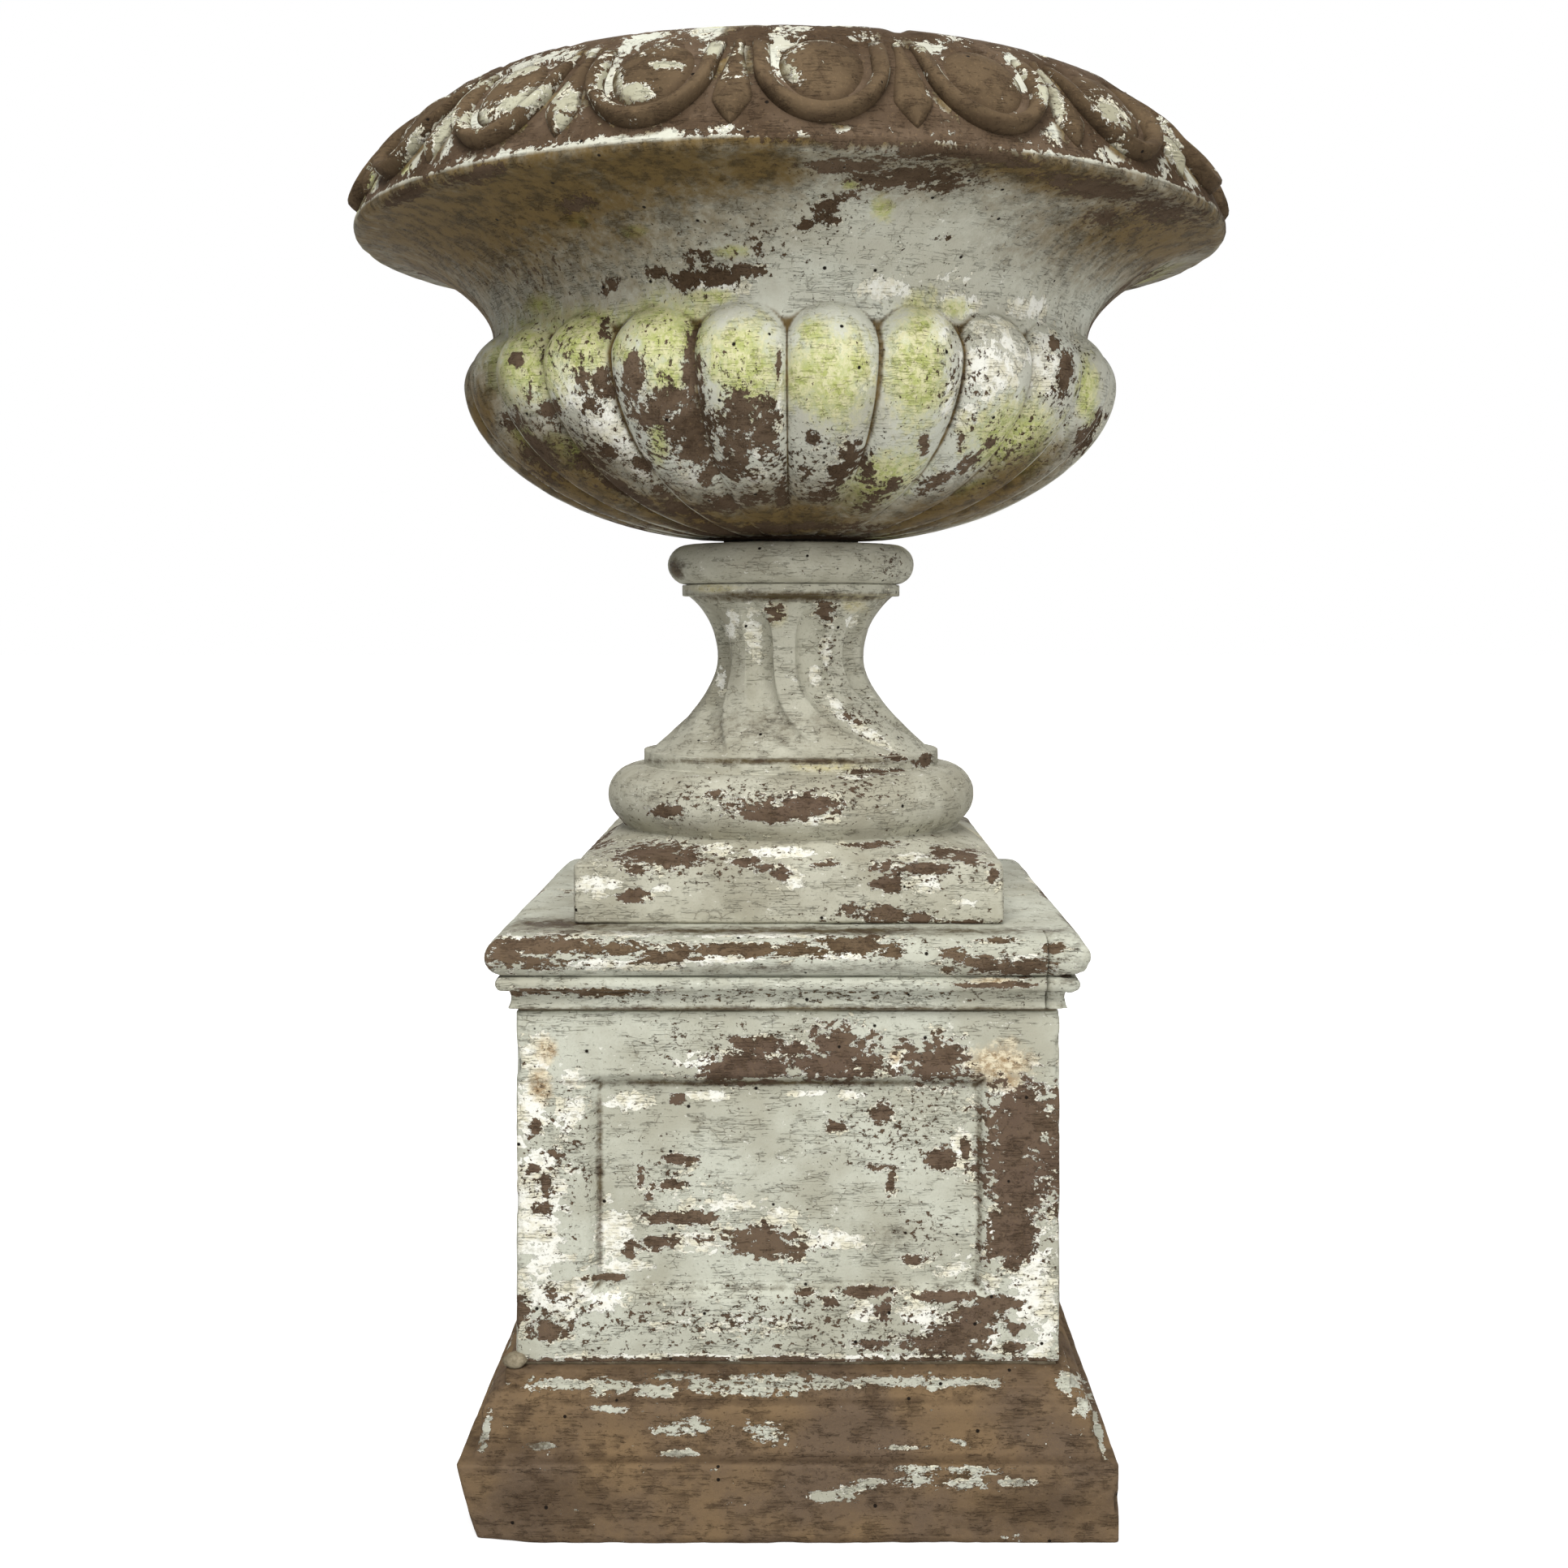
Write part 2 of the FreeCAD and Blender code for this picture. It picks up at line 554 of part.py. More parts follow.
def bowl(rim):
    """The whole bowl, with its boss, its spigot and the drain hole."""
    solid = gadrooned_belly().fuse(rim)
    solid = solid.fuse(drum(RING_RADIUS + BOSS_LIP, Z_SEAT, Z_BOWL + BOSS_HEIGHT))
    solid = solid.fuse(drum(SPIGOT_RADIUS, Z_SOCLE - SPIGOT_DEPTH, Z_BOWL))
    drain = drum(DRAIN_RADIUS, Z_SOCLE - SPIGOT_DEPTH - OVERCUT, Z_BOWL + 2 * BOWL_WALL)
    return solid.cut(bowl_hollow()).cut(drain).removeSplitter()


def on_band(shape, azimuth, rim):
    """Moves a sprig from its own plane on to the rim band, and trims it to the band."""
    run = V(BAND_TOP_RADIUS - BAND_FOOT_RADIUS, 0, BAND_HEIGHT)
    run.normalize()
    outward = polar(1.0, azimuth, 0)
    across = polar(1.0, azimuth + QUARTER_TURN, 0)
    upward = outward * run.x + AXIS * run.z
    normal = outward * run.z - AXIS * run.x
    seat = polar(BAND_FOOT_RADIUS, azimuth, Z_BAND)
    placed = shape.copy()
    place = FreeCAD.Placement(seat, FreeCAD.Rotation(across, upward, normal, "ZXY"))
    placed.Placement = place.multiply(shape.Placement)
    return placed.cut(rim)


def arch_slab(half_wide, half_long, low, high):
    """An upright slab with a horseshoe outline: half an ellipse below, straight sides above."""
    top = BAND_LENGTH
    corners = [V(half_wide, EGG_UP_BAND, low), V(half_wide, top, low)]
    corners += [V(-half_wide, top, low), V(-half_wide, EGG_UP_BAND, low)]
    sides = [Part.LineSegment(a, b).toShape() for a, b in zip(corners, corners[1:])]
    tip = V(0, EGG_UP_BAND - half_long, low)
    axes = (tip, corners[0]) if half_long > half_wide else (corners[0], tip)
    bow = Part.Ellipse(*axes, V(0, EGG_UP_BAND, low))
    chord = Part.makePlane(4 * top, 4 * top, V(-2 * top, EGG_UP_BAND - 4 * top, low))
    half = Part.Face(Part.Wire(bow.toShape())).common(chord)
    upper = Part.Face(Part.Wire(sides + [Part.LineSegment(corners[3], corners[0]).toShape()]))
    lift = V(0, 0, high - low)
    return half.extrude(lift).fuse(upper.extrude(lift)).removeSplitter()


def crown():
    """The round back that the egg frames are cut to: thick below, dying out at the top."""
    reach = 2 * FRAME_HALF_WIDTH
    centre = V(-reach, CROWN_UP_BAND, CROWN_RELIEF - CROWN_RADIUS)
    return Part.makeCylinder(CROWN_RADIUS, 2 * reach, centre, V(1, 0, 0))


def below_fillet():
    """The space below the plain top fillet of the rim, where the sprigs lie."""
    reach = 2 * FRAME_HALF_WIDTH
    high = 2 * reach + BAND_PLAIN
    return Part.makeBox(2 * reach, high, 2 * reach, V(-reach, -2 * reach, -reach))


def egg_sprig():
    ball = Part.makeSphere(1.0)
    stretch = FreeCAD.Matrix()
    stretch.scale(EGG_HALF_WIDTH, EGG_HALF_LENGTH, EGG_RELIEF)
    egg = ball.transformGeometry(stretch)
    egg.translate(V(0, EGG_UP_BAND, 0))
    return egg


def frame_sprig():
    """A horseshoe frame round an egg, with soft edges."""
    high = 2 * CROWN_RELIEF
    inner = (FRAME_HALF_WIDTH - FRAME_WIDTH, FRAME_HALF_LENGTH - FRAME_WIDTH)
    frame = arch_slab(FRAME_HALF_WIDTH, FRAME_HALF_LENGTH, -SPRIG_SINK, high)
    frame = frame.cut(arch_slab(*inner, -2 * SPRIG_SINK, 2 * high)).common(crown())
    edges = [e for e in frame.Edges if e.BoundBox.ZMin > OVERCUT - SPRIG_SINK]
    edges = [e for e in edges if e.BoundBox.YMin < BAND_PLAIN]
    return frame.makeFillet(FRAME_SOFTNESS, edges).common(below_fillet())


def dart_sprig():
    """A dart with a narrow stem and a pointed tip, bevelled to a flat back."""
    top = BAND_LENGTH
    tip = DART_TIP_UP_BAND
    shoulder = between(tip, top, DART_SHOULDER_SHARE)
    wide = DART_HALF_WIDTH
    stem = (DART_STEM_SHARES[1] * wide, between(tip, top, DART_STEM_SHARES[0]))
    half = [(0, tip), (wide, shoulder), stem, (DART_TOP_SHARE * wide, top)]
    rings = []
    for z, share in ((-SPRIG_SINK, 1.0), (DART_RELIEF, DART_BEVEL_SHARE)):
        lift = (1 - share) * (shoulder - tip)
        side = [(x * share, y + lift * (1 if y == tip else 0)) for x, y in half]
        other = [(-x, y) for x, y in reversed(side[1:])]
        corners = side + other + side[:1]
        rings.append(Part.makePolygon([V(x, y, z) for x, y in corners]))
    return Part.makeLoft(rings, True, True).common(below_fillet())


def ring_of(sprig):
    return Part.makeCompound([turned(sprig, step * FULL_TURN / SPRIGS) for step in range(SPRIGS)])


def build():
    rim = rim_body()
    half_pitch = FULL_TURN / SPRIGS / 2
    base = pedestal_base()
    die = pedestal_die()
    cap = whole_cap()
    return {
        "bowl": bowl(rim),
        "rim_eggs": ring_of(on_band(egg_sprig(), FIRST_EGG, rim)),
        "rim_egg_frames": ring_of(on_band(frame_sprig(), FIRST_EGG, rim)),
        "rim_darts": ring_of(on_band(dart_sprig(), FIRST_EGG + half_pitch, rim)),
        "seat_ring": seat_ring(),
        "socle": socle(),
        "pedestal_cap": cap.cut(corner_box()),
        "cap_corner": cap.common(corner_box()),
        "cap_bed": bed(Z_DIE_TOP, Z_CAP),
        "pedestal_die": die,
        "base_bed": base_bed(base, die),
        "pedestal_base": base,
    }


os.makedirs("parts", exist_ok=True)
for name, shape in build().items():
    shape.exportStep("parts/" + name + ".step")
    litres = round(shape.Volume / 1e6, 3)
    print(name, "solids", len(shape.Solids), "valid", shape.isValid(), "litres", litres)
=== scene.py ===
from itertools import product

import bpy
import numpy as np
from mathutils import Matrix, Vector


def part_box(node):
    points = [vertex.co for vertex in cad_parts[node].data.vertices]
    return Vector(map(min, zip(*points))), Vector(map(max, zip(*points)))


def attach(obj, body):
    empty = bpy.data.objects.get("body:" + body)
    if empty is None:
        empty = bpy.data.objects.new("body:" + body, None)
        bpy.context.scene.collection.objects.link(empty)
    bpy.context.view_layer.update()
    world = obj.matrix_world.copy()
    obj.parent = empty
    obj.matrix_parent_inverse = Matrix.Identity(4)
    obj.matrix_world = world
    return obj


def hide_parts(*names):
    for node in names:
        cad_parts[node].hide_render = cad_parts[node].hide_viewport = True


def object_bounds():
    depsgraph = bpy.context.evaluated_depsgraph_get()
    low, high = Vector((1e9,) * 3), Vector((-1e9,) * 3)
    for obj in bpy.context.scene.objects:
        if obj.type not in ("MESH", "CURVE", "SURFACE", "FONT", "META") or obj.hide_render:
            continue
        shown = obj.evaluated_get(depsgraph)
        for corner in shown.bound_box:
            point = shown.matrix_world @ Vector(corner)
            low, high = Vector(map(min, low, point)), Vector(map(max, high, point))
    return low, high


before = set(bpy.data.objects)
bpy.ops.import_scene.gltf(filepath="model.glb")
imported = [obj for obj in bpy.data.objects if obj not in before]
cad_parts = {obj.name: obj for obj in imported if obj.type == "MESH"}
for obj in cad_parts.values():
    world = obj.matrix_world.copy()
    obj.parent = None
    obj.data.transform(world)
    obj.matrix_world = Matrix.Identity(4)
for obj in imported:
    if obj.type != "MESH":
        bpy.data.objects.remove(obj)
cad_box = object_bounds()

# The meshes are worked out in millimetres in the frame of the solids: +Z up, the front looks to -Y.
MM = 0.001
PER_METRE = 1000
TAU = 2 * np.pi
LOW, HIGH = 0, 1
X, Y, Z = 0, 1, 2
XY = slice(X, Z)


def reach_mm(node, which, axis):
    return PER_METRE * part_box(node)[which][axis]


# Levels and half widths read from the frame
BASE_HALF = reach_mm("pedestal_base", HIGH, X)
Z_DIE = reach_mm("pedestal_die", LOW, Z)
Z_DIE_TOP = reach_mm("pedestal_die", HIGH, Z)
DIE_HALF = reach_mm("pedestal_die", HIGH, X)
CAP_HALF = reach_mm("pedestal_cap", HIGH, Y)
Z_CAP = reach_mm("cap_bed", HIGH, Z)
Z_CAP_TOP = reach_mm("pedestal_cap", HIGH, Z)
PLINTH_HALF = reach_mm("socle", HIGH, X)
Z_SOCLE = reach_mm("socle", HIGH, Z)
Z_SPIGOT = reach_mm("bowl", LOW, Z)
Z_RIM = reach_mm("bowl", HIGH, Z)
Z_SEAT = reach_mm("seat_ring", HIGH, Z)
CORNER_IN = reach_mm("cap_corner", LOW, X)

# Pedestal base, as steps from its block
BLOCK_HEIGHT = 63.0
OGEE_LEDGE = 11.0
OGEE_RUN = 23.0
OGEE_HEIGHT = 49.0
OGEE_TURN = (0.3, 0.6)
OGEE_HOLLOW = (0.75, 0.45)
OGEE_SWELL = (0.4, 0.8)
BASE_TOP_HEIGHT = 14.0
REGISTER_HALF = 188.8
REGISTER_WALL = 24.0
REGISTER_HEIGHT = 10.0
CELLAR_HALF = 200.0
CELLAR_TOP = 96.0
WORN_CORNER_REACH = 70.0
WORN_CORNER_DEPTH = 14.0

# Die and its panels
DIE_WALL = 34.0
DIE_EASE = 2.0
PANEL_SIDE = 64.0
PANEL_END = 58.0
PANEL_DEPTH = 9.5
PANEL_BEVEL = 9.0

# Cap mouldings, as steps from its half-round edge, and the lumpy corner
ROUND_HEIGHT = 34.0
FILLET_BACK = 7.5
FILLET_HEIGHT = 12.0
FASCIA_BACK = 9.25
FASCIA_HEIGHT = 16.0
FASCIA_HOLLOW = 2.5
CAP_HOLE = 45.0
CAP_EASE = 1.5
CRACK = 0.25
CORNER_STEP = 1.6
CORNER_ROUND = 7.0
CORNER_FULLNESS = 0.8
CORNER_WIDTHS = (0.2, 0.4, 0.6, 0.8)
CORNER_MARGIN = (2.0, 9.0)
CORNER_LUMP = 6.5
CORNER_GRIT = 2.0
CORNER_STANDS_OUT = 4.0
CORNER_STANDS_UP = 3.0

# Mortar bed under the die, with a lump at one corner
BED_SET_BACK = 3.0
BED_ROUND = 1.0
LUMP = 8.0
LUMP_SHAPE = np.array([1.2, 1.0, 0.8])
LUMP_UP = 2.0
LUMP_POLE = 1.45
LUMP_RANGE = (0.75, 1.3)
LUMP_TURNS = 28
LUMP_RINGS = 15

# Socle mouldings and hollow
PLINTH_HEIGHT = 50.0
PLINTH_EASE = 4.0
SLOPE_HEIGHT = 17.0
FOOT_TORUS = 173.4
FOOT_TORUS_HEIGHT = 56.0
FOOT_FILLET = 139.5
FOOT_FILLET_HEIGHT = 14.0
FOOT_FLARE = 131.5
WAIST = 70.0
WAIST_RISE = 88.0
FLARE_SOFTNESS = 0.91
THROAT_RISE = 56.0
THROAT = 97.0
NECK_FILLET = 103.5
NECK_FILLET_HEIGHT = 11.0
NECK_TORUS = 117.1
NECK_TORUS_HEIGHT = 38.0
SOCLE_EASE = 1.6
SOCKET = 31.0
SOCKET_DROP = 10.0
SOCLE_BORE = 40.5
BORE_DROP = 13.0
BORE_END = 40.0
SOCLE_WALL = 24.0
SOCLE_HOLLOW = 142.7
SOCLE_FINE_STEP = 2.0
SOCLE_COARSE_STEP = 5.0
FLUTES = 9
FLUTE_FIRST = -24.5
FLUTE_TWIST = 36.0
FLUTE_DEPTH = 11.5
FLUTE_ROUNDNESS = 0.21
FLUTE_START = -1.5
FLUTE_RUN_OUT = 6
FLUTE_FOOT = 2.0
FLUTE_HEAD = 0.85
FLUTE_SOFTNESS = 0.8
FLARE_ROWS = 26
THROAT_ROWS = 14

# Bowl
SPIGOT = 28.0
DRAIN = 14.0
BOSS = 66.0
BOSS_HEIGHT = 2.5
BOSS_LEDGE = 0.5
BELLY = 306.3
BELLY_RISE = 139.0
BELLY_FLAT = 5.0
BELLY_SQUARENESS = 1.8
BELLY_FULLNESS = 0.42
GADROONS = 24
GADROON_DEPTH = 20.0
GADROON_ROUNDNESS = 2.2
GADROON_FULLNESS = 0.68
GADROON_SOFTNESS = 1.5
HEAD_RISE = 48.0
HEAD_DROP = 60.0
HEAD_GROOVE = 2.2
HEAD_BELOW = 25.0
HEAD_ABOVE = 5.0
NECK = 279.6
NECK_RISE = 46.0
CAVETTO_HEIGHT = 84.0
CAVETTO_LIP = 396.0
CAVETTO_SQUARENESS = 1.6
CAVETTO_FULLNESS = 0.65
LIP = 404.5
LIP_HEIGHT = 14.0
LIP_BULGE = 0.55
BAND_FOOT = 402.0
BAND_HEIGHT = 100.0
BAND_TOP = 329.0
BAND_SWELL = 8.0
RIM_FILLET = 27.0
RIM_RELIEF = 3.0
RIM_ROUND = 4.0
MOUTH = 300.0
BOWL_WALL = 27.0
BOWL_EASE = 3.0
BELLY_INSET = 15.0
INNER_LIP = 370.0
INNER_LIP_RISE = 6.0

# Egg-and-dart sprigs, laid out across and up the rim band
SPRIGS = 18
FIRST_EGG = 4.2
EGG_WIDE = 37.0
EGG_LONG = 40.0
EGG_RELIEF = 15.5
EGG_ROUNDNESS = 2.3
EGG_UP = 62.0
EGG_LOWERED = 1.0
EGG_SPOKES = 56
EGG_RINGS = 16
EGG_CENTRE = 0.02
FRAME_WIDE = 50.5
FRAME_LONG = 56.0
FRAME_WIDTH = 13.5
FRAME_LEAST = 2.5
FRAME_SIDE_ROWS = 12
FRAME_BOW_ROWS = 60
CROWN_RELIEF = 19.0
CROWN_UP = 38.0
CROWN_RADIUS = 148.0
DART_WIDE = 17.0
DART_NARROW = 0.4
DART_RELIEF = 14.0
DART_LEAST = 3.0
DART_ROUNDNESS = 2.2
DART_TIP = 6.0
DART_ROWS = 44
DART_COLUMNS = 15
DART_SHOULDER = 0.24
DART_SHOULDER_CURVE = 0.75
DART_TAPER = 0.72
DART_TAPER_RANGE = (0.16, 0.95)
DART_FADE = 0.45
DART_FADE_RANGE = (0.25, 0.9)
DART_NOSE = 0.12
DART_NOSE_LEAST = 0.05
SPRIG_SINK = 5.0
SPRIG_OVERLAP = 2.0

# Levels worked out from the heights
Z_BLOCK = BLOCK_HEIGHT
Z_OGEE = Z_BLOCK + OGEE_HEIGHT
Z_BASE = Z_OGEE + BASE_TOP_HEIGHT
Z_FASCIA = Z_CAP + FASCIA_HEIGHT
Z_CAP_FILLET = Z_FASCIA + FILLET_HEIGHT
Z_PLINTH = Z_CAP_TOP + PLINTH_HEIGHT
Z_SLOPE = Z_PLINTH + SLOPE_HEIGHT
Z_FOOT_TORUS = Z_SLOPE + FOOT_TORUS_HEIGHT
Z_FOOT_FILLET = Z_FOOT_TORUS + FOOT_FILLET_HEIGHT
Z_WAIST = Z_FOOT_FILLET + WAIST_RISE
Z_THROAT = Z_WAIST + THROAT_RISE
Z_NECK_FILLET = Z_THROAT + NECK_FILLET_HEIGHT
Z_BOWL = Z_SEAT + BOSS_HEIGHT
Z_BELLY = Z_BOWL + BELLY_RISE
Z_NECK = Z_BELLY + NECK_RISE
Z_LIP = Z_NECK + CAVETTO_HEIGHT
Z_BAND = Z_LIP + LIP_HEIGHT
Z_BAND_TOP = Z_BAND + BAND_HEIGHT
BAND_LENGTH = float(np.hypot(BAND_FOOT - BAND_TOP, BAND_HEIGHT))
BAND_PLAIN = BAND_LENGTH - RIM_FILLET
BAND_LEAN = (BAND_TOP - BAND_FOOT) / BAND_LENGTH
BAND_CLIMB = BAND_HEIGHT / BAND_LENGTH

# Spacing of the points of the skins, and the radius that eases their arrises
FINE_STEP = 2.4
COARSE_STEP = 5.5
OUTLINE_STEP = 3.0
DIE_STEP = 2.6
MOULDING_STEP = 2.5
ARRIS = 3.0
SLACK = 0.01
TINY = 1e-9

# The photograph's camera: a level view along +Y. Pixels are those of the 1932 x 1932 photograph.
PHOTO_SIZE = 1932
PHOTO_FOCUS = 2243.0
PHOTO_CENTRE = (1000.0, 755.0)
EYE = np.array([19.7, -1735.5, 750.6])
SENSOR = 36.0
# In the photograph the urn stands a little left of the pedestal; the model has one axis.
URN_STAND = -3.5
PEDESTAL_STAND = 3.5


# Noise

HASH = np.array([73856093, 19349663, 83492791], dtype=np.uint32)
HASH_SEED = 2654435761
HASH_SPAN = 2 ** 32
HASH_MIX = np.uint32(1274126177)
HASH_SHIFTS = (np.uint32(13), np.uint32(16))
HASH_TOP = np.uint32(0xFFFF)
FAR_CELLS = 4096.0
OCTAVE_GAIN = 0.55


def lattice(cells, seed):
    """A repeatable value from 0 to 1 for each cell of a cubic lattice."""
    parts = cells.astype(np.uint32) * HASH
    mixed = parts[..., X] ^ parts[..., Y] ^ parts[..., Z] ^ np.uint32(seed * HASH_SEED % HASH_SPAN)
    mixed = (mixed ^ (mixed >> HASH_SHIFTS[0])) * HASH_MIX
    mixed = mixed ^ (mixed >> HASH_SHIFTS[1])
    return (mixed & HASH_TOP) / float(HASH_TOP)


def eased(share):
    return share * share * (3 - 2 * share)


def noise(points, size, seed):
    """Smooth noise from 0 to 1 with bumps of about the given size."""
    cells = points / size + FAR_CELLS
    corner = np.floor(cells)
    ease = eased(cells - corner)
    total = 0.0
    for step in product((0, 1), repeat=3):
        weight = np.where(np.array(step) == 1, ease, 1 - ease).prod(axis=-1)
        total = total + weight * lattice(corner + step, seed)
    return total


def fractal(points, size, seed, octaves):
    """Noise from 0 to 1 with finer and finer bumps."""
    total, reach, gain = 0.0, 0.0, 1.0
    for octave in range(octaves):
        total = total + gain * noise(points, size / 2 ** octave, seed + octave)
        reach += gain
        gain *= OCTAVE_GAIN
    return total / reach


def swinging(points, size, seed, octaves, middle=0.5):
    """The same noise, moved to swing about 0."""
    return fractal(points, size, seed, octaves) - middle


def smooth(value, low, high):
    return eased(np.clip((value - low) / (high - low), 0, 1))


def mix(first, second, share):
    return first + (second - first) * share


def unit(vectors):
    return vectors / np.maximum(np.linalg.norm(vectors, axis=-1, keepdims=True), TINY)


# Outlines: lists of (half width or radius, height)

STRAIGHT = -0.93
CORNER_SHARE = 0.45
CORNER_POINTS = 5


def arc(start, middle, end, steps=10):
    """Points of a circular arc through three points, without its start."""
    (ax, ay), (bx, by), (cx, cy) = start, middle, end
    d = 2 * (ax * (by - cy) + bx * (cy - ay) + cx * (ay - by))
    a2, b2, c2 = ax * ax + ay * ay, bx * bx + by * by, cx * cx + cy * cy
    ux = (a2 * (by - cy) + b2 * (cy - ay) + c2 * (ay - by)) / d
    uy = (a2 * (cx - bx) + b2 * (ax - cx) + c2 * (bx - ax)) / d
    turns = np.unwrap([np.arctan2(y - uy, x - ux) for x, y in (start, middle, end)])
    radius = np.hypot(ax - ux, ay - uy)
    sweep = np.linspace(turns[0], turns[2], steps + 1)[1:]
    return [(ux + radius * np.cos(t), uy + radius * np.sin(t)) for t in sweep]


def softened(points, radius):
    """The closed outline with each sharp corner eased by a short curve."""
    soft = []
    count = len(points)
    for i in range(count):
        here = np.array(points[i])
        back = np.array(points[i - 1]) - here
        ahead = np.array(points[(i + 1) % count]) - here
        back_long, ahead_long = np.hypot(*back), np.hypot(*ahead)
        if np.dot(back, ahead) / (back_long * ahead_long) < STRAIGHT:
            soft.append(tuple(here))
            continue
        start = here + back / back_long * min(radius, CORNER_SHARE * back_long)
        end = here + ahead / ahead_long * min(radius, CORNER_SHARE * ahead_long)
        for t in np.linspace(0, 1, CORNER_POINTS):
            soft.append(tuple((1 - t) ** 2 * start + 2 * t * (1 - t) * here + t * t * end))
    return soft


def spaced(points, step):
    """The closed outline with points added, so that none are further apart than the step."""
    dense = []
    for start, end in zip(points, points[1:] + points[:1]):
        gap = np.hypot(end[0] - start[0], end[1] - start[1])
        count = max(1, int(np.ceil(gap / step)))
        for k in range(count):
            dense.append((mix(start[0], end[0], k / count), mix(start[1], end[1], k / count)))
    return np.array(dense)


# Loops: the points of one level round the axis

def side_steps(half, fine, coarse):
    """Shares of the way round a square, finely spaced on its front and coarsely elsewhere."""
    front = int(np.ceil(2 * half / fine))
    other = int(np.ceil(2 * half / coarse))
    counts = (front, other, other, other)
    return np.concatenate([side + np.arange(n) / n for side, n in enumerate(counts)])


def square_ring(shares):
    """Unit square points for shares of the way round, from the front left corner towards +X."""
    side = np.floor(shares).astype(int)
    run = 2 * (shares - side) - 1
    one = np.ones_like(run)
    x = np.choose(side, [run, one, -run, -one])
    y = np.choose(side, [-one, run, one, -run])
    return np.stack([x, y], axis=-1)


def rounded_square(ring, half, corner):
    """Points of a square of a half width, with its corners eased by a radius for each point."""
    points = ring * half
    inner = (half - corner)[:, None]
    core = np.clip(points, -inner, inner)
    return core + unit(points - core) * corner[:, None]


def round_ring(azimuth):
    return np.stack([np.sin(azimuth), -np.cos(azimuth)], axis=-1)


def azimuth_of(points):
    return np.arctan2(points[..., X], -points[..., Y])


def at_height(loop, z):
    return np.concatenate([loop, np.full((len(loop), 1), z)], axis=1)


# Sheets: grids of points that close on themselves both ways, or one way with capped ends

def sheet_normals(points):
    along = np.roll(points, -1, axis=0) - np.roll(points, 1, axis=0)
    across = np.roll(points, -1, axis=1) - np.roll(points, 1, axis=1)
    return unit(np.cross(across, along))


def tube_normals(points):
    along = np.gradient(points, axis=1)
    around = np.roll(points, -1, axis=0) - np.roll(points, 1, axis=0)
    normal = unit(np.cross(around, along))
    return normal * np.sign((normal * level_part(points)).sum())


def level_part(points):
    return points * np.array([1, 1, 0])


def hollowness(points, normals, reach):
    """How far the neighbours stand out from each point: above 0 in a crevice, below 0 on an arris."""
    shifts = product((0, 1), (-reach, reach))
    around = sum(np.roll(points, shift, axis=axis) for axis, shift in shifts) / 4
    return ((around - points) * normals).sum(axis=-1)


def closed_skin(points):
    """Points, faces and end caps of a grid that closes on itself both ways."""
    index = np.arange(points[..., X].size).reshape(points.shape[:2])
    down = np.roll(index, -1, axis=0)
    right = np.roll(index, -1, axis=1)
    both = np.roll(down, -1, axis=1)
    return points.reshape(-1, 3), np.stack([index, right, both, down], axis=-1).reshape(-1, 4), []


def tube_skin(points):
    """The same for a grid that closes round its rows and is capped at its first and last column."""
    index = np.arange(points[..., X].size).reshape(points.shape[:2])
    ahead = np.roll(index, -1, axis=0)
    corners = [index[:, :-1], index[:, 1:], ahead[:, 1:], ahead[:, :-1]]
    caps = [index[:, 0], index[::-1, -1]]
    return points.reshape(-1, 3), np.stack(corners, axis=-1).reshape(-1, 4), caps


def joined(skins):
    """Several skins as one."""
    points, quads, caps, total = [], [], [], 0
    for more_points, more_quads, more_caps in skins:
        points.append(more_points)
        quads.append(more_quads + total)
        caps += [cap + total for cap in more_caps]
        total += len(more_points)
    return np.concatenate(points), np.concatenate(quads), caps


def volume(points, quads, caps):
    """Signed volume inside the faces: below 0 if they look inwards."""
    fans = [quads[:, [0, 1, 2]], quads[:, [0, 2, 3]]]
    for cap in caps:
        fans.append(np.stack([np.full(len(cap) - 2, cap[0]), cap[1:-1], cap[2:]], axis=-1))
    a, b, c = points[np.concatenate(fans)].transpose(1, 0, 2)
    return (a * np.cross(b, c)).sum() / 6


def piece(name, skin, layers, material, body, node):
    """A new object from a skin in millimetres, standing for a CAD node."""
    points, quads, caps = skin
    mesh = bpy.data.meshes.new(name)
    inside = np.clip(points * MM, np.array(cad_box[LOW]), np.array(cad_box[HIGH]))
    turn = 1 if volume(inside, quads, caps) > 0 else -1
    faces = [face[::turn].tolist() for face in list(quads) + caps]
    mesh.from_pydata(inside.tolist(), [], faces)
    for layer, values in layers.items():
        attribute = mesh.attributes.new(layer, "FLOAT", "POINT")
        attribute.data.foreach_set("value", weighted(values.ravel()).astype(np.float32))
    mesh.shade_smooth()
    mesh.materials.append(material)
    made = bpy.data.objects.new(name, mesh)
    bpy.context.scene.collection.objects.link(made)
    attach(made, body)
    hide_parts(node)


# Weathering: where paint is gone, where pale undercoat shows, where lichen sits, and where staining and
# painted shade darken the surface

GRAZING = 0.22
SMALLEST_PATCH = 4.0
FIRM_INSIDE = 0.85
FIRM_OUTSIDE = 1.15
KINDS = ("bare", "pale", "lichen", "grime_and_shade", "chips")
WILD_SIZES = {"bare": 84.0, "pale": 90.0, "lichen": 90.0, "grime_and_shade": 150.0, "coat": 40.0, "chips": 140.0}
WILD_SEED = 31
WILD_SEED_STEP = 7
WILD_OCTAVES = 3
WILD_CONTRAST = 7
WILD_NONE = 0.8


def photo_pixels(points, stand):
    depth = points[..., Y] - EYE[Y]
    x = PHOTO_CENTRE[0] + PHOTO_FOCUS * (points[..., X] + stand - EYE[X]) / depth
    y = PHOTO_CENTRE[1] - PHOTO_FOCUS * (points[..., Z] - EYE[Z]) / depth
    return x, y


